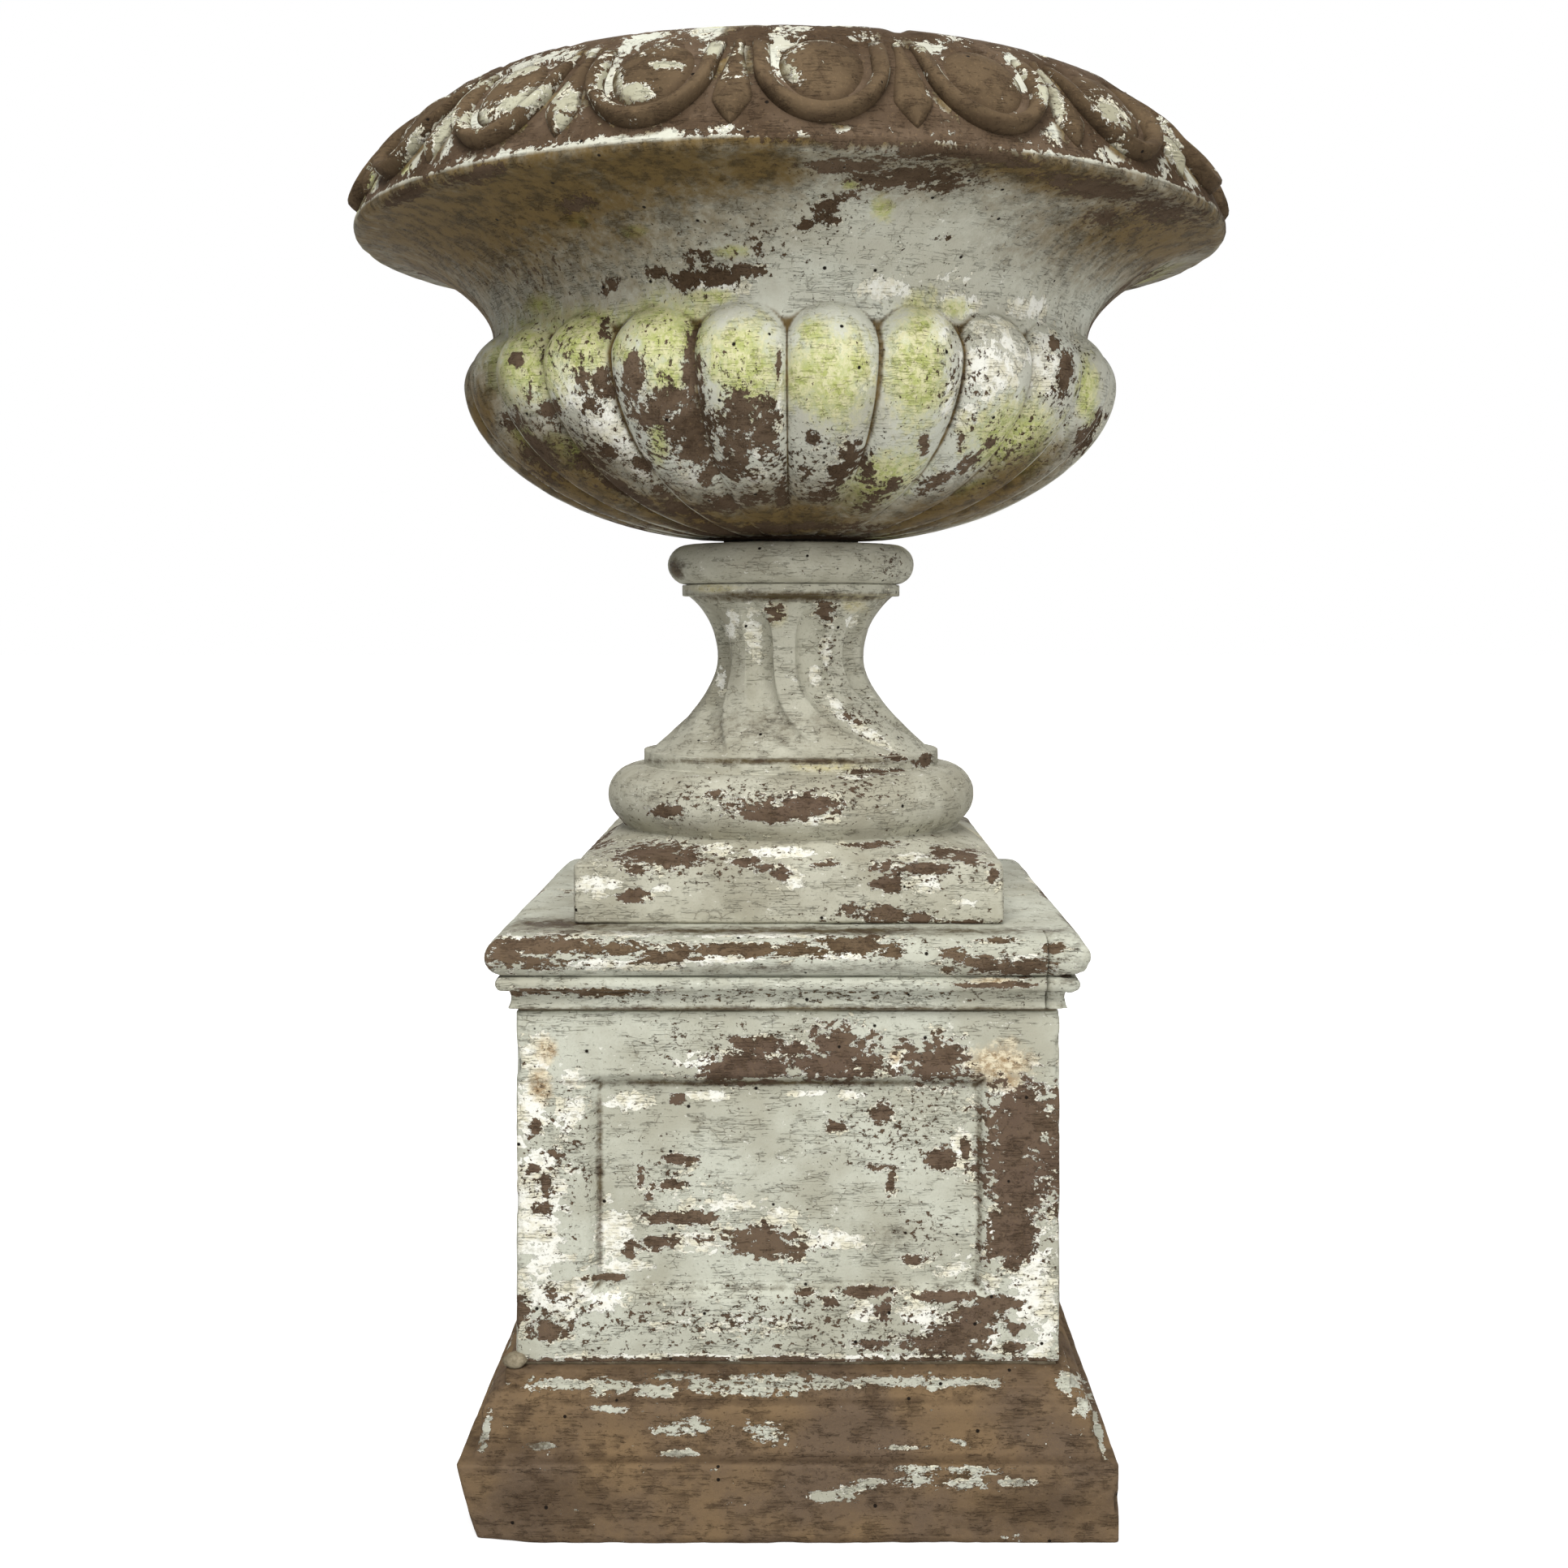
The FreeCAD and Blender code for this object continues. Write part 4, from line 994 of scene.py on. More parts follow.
class OldPaint(Graph):
    """Old paint in two coats over fired clay: it flakes to undercoat and to bare clay."""

    def __init__(self, name, stretch, flake):
        super().__init__(bpy.data.materials.new(name))
        self.even = self.place(EVEN)
        self.grain = self.place(stretch)
        self.ragged = self.warped(self.grain, size=6.0, reach=5.0, detail=3.0)
        self.coarse = self.noise(self.grain, flake, detail=10.0, roughness=0.66, distortion=0.3)
        self.lively = self.noise(self.grain, size=20.0, detail=8.0, roughness=0.68)
        self.speckle = self.noise(self.grain, size=7.0, detail=6.0, roughness=0.72)
        self.fine = self.noise(self.even, size=2.6, detail=4.0, roughness=0.65)
        self.cloud = self.noise(self.even, size=90.0, detail=5.0, roughness=0.6)
        self.strokes = self.noise(self.place(BRUSHED), size=40.0, detail=4.0, roughness=0.6)
        self.plates = self.flakes(self.ragged, size=11.0)
        self.scales = self.flakes(self.ragged, size=4.5)

    def roughened(self, field, **gains):
        """A field with the named noises added, each swinging about 0 with its gain."""
        for name, gain in gains.items():
            swing = self.math("MULTIPLY_ADD", getattr(self, name), gain, -gain / 2)
            field = self.math("ADD", field, swing)
        return field

    def undercoat_shows(self, gone):
        """The torn margins of bare clay, and patches where only the top coat is gone."""
        margin = self.math("ADD", self.roughened(gone, lively=2.4), MARGIN_REACH)
        torn = self.roughened(self.layer("pale"), lively=2.4, speckle=2.0, plates=0.7)
        return self.step(self.most(margin, torn), low=-0.01, high=0.03)

    def chipped(self):
        """Small chips, more of them in their patches, and a pepper of smaller ones."""
        flecks = self.noise(self.grain, size=6.0, detail=5.0, roughness=0.72)
        flecks = self.math("MULTIPLY_ADD", self.layer("chips"), CHIP_PULL, flecks)
        grit = self.noise(self.grain, size=3.4, detail=3.0, roughness=0.6)
        pepper = self.times(self.step(grit, low=0.67, high=0.69), self.step(self.lively, low=0.44, high=0.5))
        return self.most(self.step(flecks, low=0.61, high=0.625), pepper)

    def hairlines(self):
        """Fine level cracks that follow the brush strokes."""
        off_middle = self.math("ABSOLUTE", self.math("SUBTRACT", self.strokes, 0.5))
        line = self.step(off_middle, low=0.016, high=0.005)
        return self.times(line, self.step(self.lively, low=0.47, high=0.53))

    def crazing(self):
        lines = self.cracks(self.ragged, size=15.0, width=0.03, core=0.4)
        return self.times(lines, self.step(self.lively, low=0.53, high=0.58))

    def topcoat(self, light, dark):
        coat = self.tint(light, dark, self.cloud, low=0.38, high=0.66)
        coat = self.tint(coat, dark, self.lively, low=0.48, high=0.7, share=0.55)
        coat = self.tint(coat, dark, self.fine, low=0.52, high=0.7, share=0.5)
        scuffs = self.noise(self.grain, size=11.0, detail=6.0, roughness=0.75)
        return self.tint(coat, UNDERCOAT, scuffs, low=0.63, high=0.66, share=0.6)

    def undercoat(self, dark):
        under = self.tint(UNDERCOAT, UNDERCOAT_CREAM, self.lively, low=0.42, high=0.62)
        return self.tint(under, dark, self.speckle, low=0.52, high=0.64, share=0.5)

    def earth(self, clay, gone, soot_and_shade):
        """Bare clay, with a painted shadow along the edge of the paint, and darker where it is dirty or in
        painted shade.
        """
        earth = self.tint(*clay, self.cloud, low=0.36, high=0.64)
        earth = self.tint(earth, CLAY_DARK, self.lively, low=0.46, high=0.66, share=0.6)
        earth = self.tint(earth, CLAY_OCHRE, self.fine, low=0.54, high=0.7, share=0.4)
        # Painted shadow of the paint's edge on the bare clay just inside it.
        earth = self.tint(earth, CLAY_DARK, gone, low=0.16, high=0.02, share=0.45)
        return self.tint(earth, CLAY_DARK, soot_and_shade, *SOOT_AND_SHADE_RANGE, share=0.5)

    def relief(self, brush):
        """The height of the surface, from the brush strokes and the layers."""
        height = self.times(self.strokes, brush)
        for name, share in RELIEF.items():
            height = self.math("MULTIPLY_ADD", getattr(self, name), share, height)
        return height


def coated_clay(
    name, clay, lichen, stretch, hair,
    flake=40.0, brush=0.12, top=GREY_COAT, dirt_and_shade_tones=BROWN_DIRT_AND_SHADE, tear=1.0, blotch=1.0,
):
    """The material of old paint, from its clays, lichen tones and grain."""
    g = OldPaint(name, stretch, flake)
    gone = g.roughened(g.layer("bare"), coarse=2.5 * tear, speckle=2.3 * tear, plates=0.42, scales=0.6)
    growth = g.roughened(g.layer("lichen"), speckle=1.8, lively=1.8)
    # The grime field darkens with staining and with painted shade in crevices, hollows and under overhangs.
    soot_and_shade = g.roughened(g.layer("grime_and_shade"), coarse=1.3 * blotch, speckle=1.8 * blotch, plates=0.3 * blotch)
    g.bare = g.step(gone, low=-0.01, high=0.02)
    g.pale = g.undercoat_shows(gone)
    g.chips = g.chipped()
    g.hairs = g.hairlines()
    g.crazed = g.crazing()
    g.pinholes = g.specks(g.even, size=14.0, share=0.16, radius=0.13, core=0.6)

    colour = g.mix(g.pale, g.topcoat(*top), g.undercoat(top[1]))
    colour = g.mix(g.times(g.crazed, CRAZING_DARKNESS), colour, DIRT)
    colour = g.mix(g.times(g.hairs, hair), colour, DIRT)
    green = g.tint(*lichen, g.speckle, low=0.4, high=0.6)
    colour = g.tint(colour, green, growth, low=-0.35, high=0.5, share=0.8)
    # Staining tones, laid also where the grime field is painted shade.
    soil_and_shade = g.tint(*dirt_and_shade_tones, g.lively, low=0.42, high=0.62)
    colour = g.tint(colour, soil_and_shade, soot_and_shade, *SOOT_AND_SHADE_RANGE, share=0.97)
    earth = g.earth(clay, gone, soot_and_shade)
    colour = g.mix(g.bare, colour, earth)
    colour = g.mix(g.chips, colour, earth)
    colour = g.mix(g.pinholes, colour, PINHOLE)
    roughness = g.math("MULTIPLY_ADD", g.bare, CLAY_ROUGHNESS - PAINT_ROUGHNESS, PAINT_ROUGHNESS)
    return g.finish(colour, roughness, g.relief(brush), PAINT_DEPTH)


def gritty(name, greys, grain, roughness, depth, stained):
    """Mortar or packing: grit of two greys, stained or not."""
    g = Graph(bpy.data.materials.new(name))
    even = g.place(EVEN)
    grit = g.noise(even, grain, detail=5.0, roughness=0.7)
    colour = g.tint(*greys, grit, low=0.35, high=0.7)
    if stained:
        stain = g.noise(even, size=40.0, detail=4.0, roughness=0.6)
        colour = g.tint(colour, DIRT, stain, low=0.4, high=0.65, share=0.6)
    return g.finish(colour, roughness, grit, depth)


painted_die = coated_clay("painted_die", (CLAY, CLAY_RED), RUST_LICHEN, (1.0, 1.0, 1.35), hair=0.38)
painted_cap = coated_clay("painted_cap", (CLAY_RIM, CLAY), RUST_LICHEN, (1.0, 1.0, 2.2), hair=0.24)
painted_socle = coated_clay(
    "painted_socle", (CLAY, CLAY_RED), STAIN, (1.0, 1.0, 1.6), hair=0.14, top=SOCLE_COAT,
)
painted_bowl = coated_clay(
    "painted_bowl", (CLAY, CLAY_DARK), GREEN_LICHEN, (1.2, 1.2, 0.9), hair=0.1,
    flake=34.0, brush=0.25, top=BOWL_COAT, dirt_and_shade_tones=BOWL_DIRT_AND_SHADE, tear=1.35, blotch=0.4,
)
bare_clay = coated_clay("bare_terracotta", (CLAY_OCHRE, CLAY), GREEN_LICHEN, (1.0, 1.0, 1.8), hair=0.2)
rim_clay = coated_clay(
    "bare_rim", (CLAY_RIM, CLAY_RIM_DARK), GREEN_LICHEN, (1.2, 1.2, 1.2), hair=0.1,
    flake=36.0, brush=0.1, top=RIM_COAT,
)
mortar = gritty("grey_mortar", MORTAR_GREYS, grain=5.0, roughness=0.9, depth=1.5, stained=True)
packing = gritty("packing_dark_as_shade", PACKING_SHADE_GREYS, grain=4.0, roughness=0.95, depth=1.2, stained=False)


# Wear, staining and painted shade that all skins share. NEAR and FAR count the points to the neighbours that
# tell a crevice.

NEAR = 2
FAR = 6
SHARP = (0.25, 1.6)
CREVICE = (0.3, 1.8)
DENT = (0.1, 0.9)
BITE_RANGE = (0.5, 2.2)
BITE_SIZE = 45.0
BITE_SEED = 5
CHIP_CHANCE = (0.5, 0.78)
GRAIN_RELIEF = 0.7
UNEVEN_SEED = 9
GRAIN_SEED = 17


def lofted(outline, shares, corner, turns=None):
    """A closed skin through square levels, which are round where their turn is 1."""
    ring = square_ring(shares)
    circle = round_ring(azimuth_of(ring))
    levels = []
    for row, (half, z) in enumerate(outline):
        bite = noise(at_height(ring * half, z), BITE_SIZE, BITE_SEED)
        bite = min(corner, half / 2) * mix(*BITE_RANGE, bite)
        level = rounded_square(ring, half, bite)
        if turns is not None:
            level = mix(level, circle * half, turns[row])
        levels.append(at_height(level, z))
    return np.array(levels)


def worn(points, unevenness, chips, seed):
    """Slight unevenness of hand work, and arrises worn and chipped back."""
    normals = sheet_normals(points)
    arris = smooth(-hollowness(points, normals, NEAR), *SHARP)
    chance = smooth(fractal(points, size=34.0, seed=seed, octaves=4), *CHIP_CHANCE)
    shift = 2 * unevenness * swinging(points, size=120.0, seed=seed + UNEVEN_SEED, octaves=3)
    shift = shift + GRAIN_RELIEF * swinging(points, size=14.0, seed=seed + GRAIN_SEED, octaves=2)
    shift = shift - chips * chance * arris
    return points + normals * shift[..., None], arris


# Raises the grime layer, for staining and also for painted shade in crevices, hollows and under overhangs.
def add_dirt_and_shade(layers, where, gain, start):
    layers["grime_and_shade"] = np.maximum(layers["grime_and_shade"], gain * where + start)


def add_wear(layers, arris, gain):
    layers["bare"] = np.clip(layers["bare"] + gain * arris, -1, 1)


def weathered(points, arris, patches, stand, wild, soot_and_shade=1.4):
    """The layers of a closed skin, with staining and painted shade in its crevices and bare clay on its
    arrises.
    """
    normals = sheet_normals(points)
    layers = weathering(points, normals, patches, stand, wild_layers(points, wild))
    # Painted shade and staining in the crevices, standing in for occlusion.
    add_dirt_and_shade(layers, smooth(hollowness(points, normals, NEAR), *CREVICE), gain=soot_and_shade, start=-0.8)
    add_wear(layers, arris, gain=0.35)
    return layers


# Pedestal: base block, die, cap with its corner, and the lower mortar bed

WILD_BASE = {"coat": 0.61, "grime_and_shade": 0.64, "lichen": 0.78}
WILD_DIE = {"bare": 0.63, "pale": 0.58, "lichen": 0.76, "grime_and_shade": 0.72, "chips": 0.6}
WILD_CAP = {"bare": 0.6, "pale": 0.58, "lichen": 0.78, "grime_and_shade": 0.7, "chips": 0.6}
WILD_CORNER = {"bare": 0.66, "pale": 0.62, "grime_and_shade": 0.6}
HOLE_MARGIN = 4.0
CAP_ROUND_SHARE = 0.6
SIDES_OUT = np.array([(0, -1), (1, 0), (0, 1), (-1, 0)])


def base_outline():
    foot = BASE_HALF - OGEE_LEDGE
    top = foot - OGEE_RUN
    turn = (foot - OGEE_TURN[0] * OGEE_RUN, Z_BLOCK + OGEE_TURN[1] * OGEE_HEIGHT)
    hollow = (mix(foot, turn[0], OGEE_HOLLOW[0]), mix(Z_BLOCK, turn[1], OGEE_HOLLOW[1]))
    swell = (mix(turn[0], top, OGEE_SWELL[0]), mix(turn[1], Z_OGEE, OGEE_SWELL[1]))
    inner = REGISTER_HALF - REGISTER_WALL
    z_register = Z_BASE + REGISTER_HEIGHT
    points = [(BASE_HALF, 0.0), (BASE_HALF, Z_BLOCK), (foot, Z_BLOCK)]
    points += arc(points[-1], hollow, turn) + arc(turn, swell, (top, Z_OGEE))
    points += [(top, Z_BASE), (REGISTER_HALF, Z_BASE), (REGISTER_HALF, z_register), (inner, z_register)]
    points += [(inner, CELLAR_TOP), (CELLAR_HALF, CELLAR_TOP), (CELLAR_HALF, 0.0)]
    return spaced(softened(points, ARRIS), OUTLINE_STEP)


def build_base():
    shares = side_steps(BASE_HALF, FINE_STEP, COARSE_STEP)
    points = lofted(base_outline(), shares, ARRIS)
    points, arris = worn(points, unevenness=0.9, chips=5.0, seed=3)
    # The front left foot of the block is worn back towards the ground.
    near = smooth(-points[..., X], BASE_HALF - WORN_CORNER_REACH, BASE_HALF)
    near = near * smooth(-points[..., Y], BASE_HALF - WORN_CORNER_REACH, BASE_HALF)
    back = WORN_CORNER_DEPTH * near * np.clip(1 - points[..., Z] / Z_BLOCK, 0, 1)
    points[..., X] += back
    points[..., Y] += back / 2
    points[..., Z] = np.maximum(points[..., Z], 0.0)
    layers = weathered(points, 0 * arris, BASE_PATCHES, PEDESTAL_STAND, WILD_BASE)
    piece(
        "weathered_base", closed_skin(points), layers, bare_clay,
        "pedestal", "pedestal_base",
    )


def build_die():
    inner = DIE_HALF - DIE_WALL
    corners = [(DIE_HALF, Z_DIE), (DIE_HALF, Z_DIE_TOP), (inner, Z_DIE_TOP), (inner, Z_DIE)]
    outline = spaced(softened(corners, DIE_EASE), DIE_STEP)
    shares = side_steps(DIE_HALF, FINE_STEP, COARSE_STEP)
    points = lofted(outline, shares, ARRIS)
    side = np.floor(shares).astype(int)
    run = np.where(side % 2 == 0, points[..., X], points[..., Y])
    rise = np.abs(points[..., Z] - (Z_DIE + Z_DIE_TOP) / 2)
    end = (Z_DIE_TOP - Z_DIE) / 2 - PANEL_END
    in_panel = np.minimum(DIE_HALF - PANEL_SIDE - np.abs(run), end - rise)
    outside = outline[:, :1] > DIE_HALF - ARRIS
    sunk = PANEL_DEPTH * np.clip(in_panel / PANEL_BEVEL + 0.5, 0, 1) * outside
    points[..., XY] -= sunk[..., None] * SIDES_OUT[side]
    points, arris = worn(points, unevenness=0.7, chips=3.5, seed=13)
    layers = weathered(points, arris, DIE_PATCHES, PEDESTAL_STAND, WILD_DIE)
    piece(
        "weathered_die", closed_skin(points), layers, painted_die,
        "pedestal", "pedestal_die",
    )


def cap_edge():
    """The outline of the cap's mouldings, from the bottom to the top edge."""
    fillet = CAP_HALF - FILLET_BACK
    fascia = fillet - FASCIA_BACK
    nose = ROUND_HEIGHT / 2
    back = fillet - FILLET_HEIGHT / 4
    points = [(fascia, Z_CAP)]
    points += arc(points[0], (fascia - FASCIA_HOLLOW, (Z_CAP + Z_FASCIA) / 2), (fascia, Z_FASCIA), steps=6)
    points += [(back, Z_FASCIA)]
    points += arc(points[-1], (fillet, (Z_FASCIA + Z_CAP_FILLET) / 2), (back, Z_CAP_FILLET), steps=6)
    points += [(CAP_HALF - nose, Z_CAP_FILLET)]
    points += arc(points[-1], (CAP_HALF, Z_CAP_FILLET + nose), (CAP_HALF - nose, Z_CAP_TOP), steps=16)
    return points


def without_corner(points):
    """The cap after its front right corner broke off: the skin is folded inwards along the break."""
    x, y = points[..., X], points[..., Y]
    broken = (x > CORNER_IN) & (y < -CORNER_IN)
    edge_out = np.maximum(x, -y)
    folded_x = np.where(broken, CORNER_IN + (edge_out + y), x)
    folded_y = np.where(broken, -CORNER_IN - (edge_out - x), y)
    return np.stack([folded_x, folded_y, points[..., Z]], axis=-1)


def build_cap():
    inner = REGISTER_HALF - REGISTER_WALL
    z_register = Z_CAP - REGISTER_HEIGHT
    points = cap_edge() + [(CAP_HOLE, Z_CAP_TOP), (CAP_HOLE, Z_FASCIA), (inner, Z_FASCIA)]
    points += [(inner, z_register), (REGISTER_HALF, z_register), (REGISTER_HALF, Z_CAP)]
    outline = spaced(softened(points, CAP_EASE), OUTLINE_STEP)
    turns = 1 - smooth(outline[:, 0], CAP_HOLE + HOLE_MARGIN, CAP_ROUND_SHARE * inner)
    points = lofted(outline, side_steps(CAP_HALF, FINE_STEP, COARSE_STEP), ARRIS, turns)
    points, arris = worn(points, unevenness=1.0, chips=2.5, seed=23)
    points = without_corner(points)
    layers = weathered(points, arris, CAP_PATCHES, PEDESTAL_STAND, WILD_CAP)
    piece(
        "weathered_cap", closed_skin(points), layers, painted_cap,
        "pedestal", "pedestal_cap",
    )


def corner_points(low):
    """The plain corner block, from the middle of its lower face to the middle of its upper face."""
    edge = spaced(cap_edge(), MOULDING_STEP)
    edge = edge[:np.argmax(edge[:, 1] >= Z_CAP_TOP - SLACK) + 1]
    ring = square_ring(side_steps(CAP_HALF - CORNER_IN, CORNER_STEP, CORNER_STEP))
    levels = [(edge[0], width) for width in CORNER_WIDTHS]
    levels += [(place, 1.0) for place in edge]
    levels += [(edge[-1], width) for width in reversed(CORNER_WIDTHS)]
    points = []
    for (outer, z), width in levels:
        half = (outer - low) / 2
        middle = (outer + low) / 2
        level = rounded_square(ring, half, np.full(len(ring), min(CORNER_ROUND, half * CORNER_FULLNESS)))
        points.append(at_height(level * width + np.array([middle, -middle]), z))
    return np.array(points)


def build_corner():
    """The lumpy refilled corner of the cap."""
    low = CORNER_IN + CRACK
    points = corner_points(low)
    lump = CORNER_LUMP * swinging(points, size=19.0, seed=71, octaves=3, middle=0.56)
    lump = lump + CORNER_GRIT * swinging(points, size=7.0, seed=75, octaves=2)
    outer_side = smooth(points[..., X] - low, *CORNER_MARGIN) * smooth(-points[..., Y] - low, *CORNER_MARGIN)
    points = points + sheet_normals(points) * (lump * outer_side)[..., None]
    limit = CAP_HALF + CORNER_STANDS_OUT
    points = np.clip(points, (low, -limit, Z_CAP), (limit, -low, Z_CAP_TOP + CORNER_STANDS_UP))
    normals = sheet_normals(points)
    wild = wild_layers(points, WILD_CORNER)
    layers = weathering(points, normals, CAP_PATCHES, PEDESTAL_STAND, wild)
    # Painted shade and staining in the dents and hollows of the corner.
    add_dirt_and_shade(layers, smooth(hollowness(points, normals, NEAR), *DENT), gain=1.0, start=-0.3)
    around = {kind: layer.T for kind, layer in layers.items()}
    piece(
        "weathered_corner", tube_skin(points.transpose(1, 0, 2)), around, painted_cap,
        "pedestal", "cap_corner",
    )


def mortar_lump():
    """The lump squeezed out at the front left corner of the die."""
    turns = np.linspace(0, TAU, LUMP_TURNS, endpoint=False)
    climbs = np.linspace(-LUMP_POLE, LUMP_POLE, LUMP_RINGS)
    turn, climb = np.meshgrid(turns, climbs, indexing="ij")
    level = round_ring(turn) * np.cos(climb)[..., None]
    ball = np.concatenate([level, np.sin(climb)[..., None]], axis=-1)
    size = LUMP * mix(*LUMP_RANGE, fractal(ball, size=0.8, seed=91, octaves=3))
    lump = ball * size[..., None] * LUMP_SHAPE + np.array([-DIE_HALF, -DIE_HALF, Z_DIE + LUMP_UP])
    lump[..., Z] = np.maximum(lump[..., Z], Z_BASE)
    return lump


def build_bed():
    """The lower mortar bed with its lump."""
    outer, inner = DIE_HALF - BED_SET_BACK, REGISTER_HALF + BED_SET_BACK
    corners = [(outer, Z_BASE), (outer, Z_DIE), (inner, Z_DIE), (inner, Z_BASE)]
    bed = lofted(spaced(corners, OUTLINE_STEP), side_steps(outer, COARSE_STEP, COARSE_STEP), BED_ROUND)
    skin = joined([closed_skin(bed), tube_skin(mortar_lump())])
    piece("weathered_bed", skin, {}, mortar, "pedestal", "base_bed")


# Socle: square plinth, two torus mouldings, and a waist with twisted flutes

WILD_SOCLE = {"bare": 0.64, "pale": 0.6, "lichen": 0.72, "grime_and_shade": 0.68, "chips": 0.6}
TORUS_START = (0.5, 0.134)
TORUS_TOE = 0.45


def flare_radius(z):
    soft = FLARE_SOFTNESS * WAIST_RISE
    fall = np.hypot(Z_WAIST - z, soft) - soft
    return mix(WAIST, FOOT_FLARE, fall / (np.hypot(WAIST_RISE, soft) - soft))


def throat_radius(z):
    spread = THROAT - WAIST
    bend = (THROAT_RISE ** 2 + spread ** 2) / (2 * spread)
    return WAIST + bend - np.sqrt(bend ** 2 - (z - Z_WAIST) ** 2)


def soft_least(first, second, softness):
    return (first + second - np.sqrt((first - second) ** 2 + softness ** 2)) / 2


def soft_most(first, second, softness):
    return (first + second + np.sqrt((first - second) ** 2 + softness ** 2)) / 2


def fluted(radius, azimuth, z):
    """The waist's radius after the nine round gouges that swing towards +X at the foot."""
    low, high = Z_FOOT_FILLET - FLUTE_FOOT, Z_WAIST + FLUTE_HEAD * THROAT_RISE
    if not low < z < high:
        return np.full_like(azimuth, radius)
    share = (z - low) / (high - low)
    depth = mix(FLUTE_START, FLUTE_DEPTH, 1 - abs(2 * share - 1) ** FLUTE_RUN_OUT)
    below = max(0.0, (Z_WAIST - z) / WAIST_RISE)
    first = np.radians(FLUTE_FIRST + FLUTE_TWIST * below ** 2)
    pitch = TAU / FLUTES
    away = (azimuth - first + pitch / 2) % pitch - pitch / 2
    gouge = FLUTE_ROUNDNESS * radius
    centre = radius + gouge - depth
    inside = np.maximum(gouge ** 2 - (centre * np.sin(away)) ** 2, 0)
    cut = np.where(inside > 0, centre * np.cos(away) - np.sqrt(inside), radius + gouge)
    return soft_least(radius, cut, FLUTE_SOFTNESS)


def socle_outline():
    """Half widths and heights up the outside, and down the bore and hollow."""
    foot = FOOT_TORUS_HEIGHT / 2
    foot_core = FOOT_TORUS - foot
    neck = NECK_TORUS_HEIGHT / 2
    neck_core = NECK_TORUS - neck
    start = (foot_core + TORUS_START[0] * foot, Z_SLOPE + TORUS_START[1] * foot)
    points = [(PLINTH_HALF - PLINTH_EASE, Z_CAP_TOP), (PLINTH_HALF, Z_CAP_TOP + PLINTH_EASE / 2)]
    points += [(PLINTH_HALF, Z_PLINTH), (foot_core + TORUS_TOE * foot, Z_SLOPE)]
    points += arc(start, (FOOT_TORUS, Z_SLOPE + foot), (foot_core, Z_FOOT_TORUS), steps=16)
    points += [(FOOT_FILLET, Z_FOOT_TORUS), (FOOT_FILLET, Z_FOOT_FILLET), (FOOT_FLARE, Z_FOOT_FILLET)]
    points += [(flare_radius(z), z) for z in np.linspace(Z_FOOT_FILLET, Z_WAIST, FLARE_ROWS)[1:]]
    points += [(throat_radius(z), z) for z in np.linspace(Z_WAIST, Z_THROAT, THROAT_ROWS)[1:]]
    points += [(NECK_FILLET, Z_THROAT), (NECK_FILLET, Z_NECK_FILLET), (neck_core, Z_NECK_FILLET)]
    points += arc(points[-1], (NECK_TORUS, Z_NECK_FILLET + neck), (neck_core, Z_SOCLE), steps=14)
    points += [(SOCKET, Z_SOCLE), (SOCKET, Z_THROAT - SOCKET_DROP)]
    points += [(SOCLE_BORE, Z_THROAT - BORE_DROP), (SOCLE_BORE, Z_WAIST - BORE_END)]
    points += [(FOOT_FLARE - SOCLE_WALL, Z_FOOT_TORUS - SOCLE_WALL)]
    points += [(SOCLE_HOLLOW, Z_SLOPE), (SOCLE_HOLLOW, Z_CAP_TOP)]
    return spaced(softened(points, SOCLE_EASE), MOULDING_STEP)


def socle_turns(half, z):
    """How round each level of the outline is: the plinth is square, all above and within is round."""
    turns = smooth(z, Z_PLINTH, Z_SLOPE)
    turns[np.argmax(z):] = 1.0
    bottom = (z < Z_CAP_TOP + SLACK) & (half > SOCLE_HOLLOW)
    turns[bottom] = 1 - smooth(half[bottom], SOCLE_HOLLOW, PLINTH_HALF - PLINTH_EASE)
    return turns


def build_socle():
    outline = socle_outline()
    half, z = outline.T
    shares = side_steps(PLINTH_HALF, SOCLE_FINE_STEP, SOCLE_COARSE_STEP)
    points = lofted(outline, shares, ARRIS, socle_turns(half, z))
    azimuth = azimuth_of(points)
    for row in range(np.argmax(z)):
        if Z_FOOT_FILLET < z[row] < Z_THROAT and half[row] < FOOT_FLARE + SLACK:
            radius = fluted(half[row], azimuth[row], z[row])
            points[row, :, XY] *= (radius / half[row])[:, None]
    points, arris = worn(points, unevenness=0.7, chips=2.5, seed=43)
    points[..., Z] = np.clip(points[..., Z], Z_CAP_TOP, Z_SOCLE)
    layers = weathered(points, arris, SOCLE_PATCHES, URN_STAND, WILD_SOCLE, soot_and_shade=0.9)
    piece(
        "weathered_socle", closed_skin(points), layers, painted_socle,
        "socle", "socle",
    )


# Bowl: gadrooned belly, cavetto, lip and rim band

WILD_BOWL = {"bare": 0.58, "pale": 0.55, "lichen": 0.55, "grime_and_shade": 0.58, "coat": 0.62}
FRONT_STEPS = 400
BACK_STEPS = 150
BELLY_ROWS = 90
HEAD_ROWS = 40
CAVETTO_ROWS = 40
BAND_ROWS = 36
INNER_STEP = 6.0
INNER_CAVETTO = ((0.62, 0.85), (0.28, 0.6), (0.06, 0.28), (0.0, 0.0))
INNER_BELLY = ((1.0, 1.0), (0.94, 0.65), (0.77, 0.3), (0.5, 0.06), (0.25, 0.0))
VALLEY = (0.8, 6.0)
BAND_MARGIN = (-6.0, -2.0)
LIP_SHADE_UP = 30.0
INSIDE_DIRT = 0.35
NEAR_SPRIG = (2.0, 10.0)
DART_MIDDLE = 0.6
BELOW_DARTS = 20.0
SHADE_GAIN = 1.3
SHADE_START = -0.7


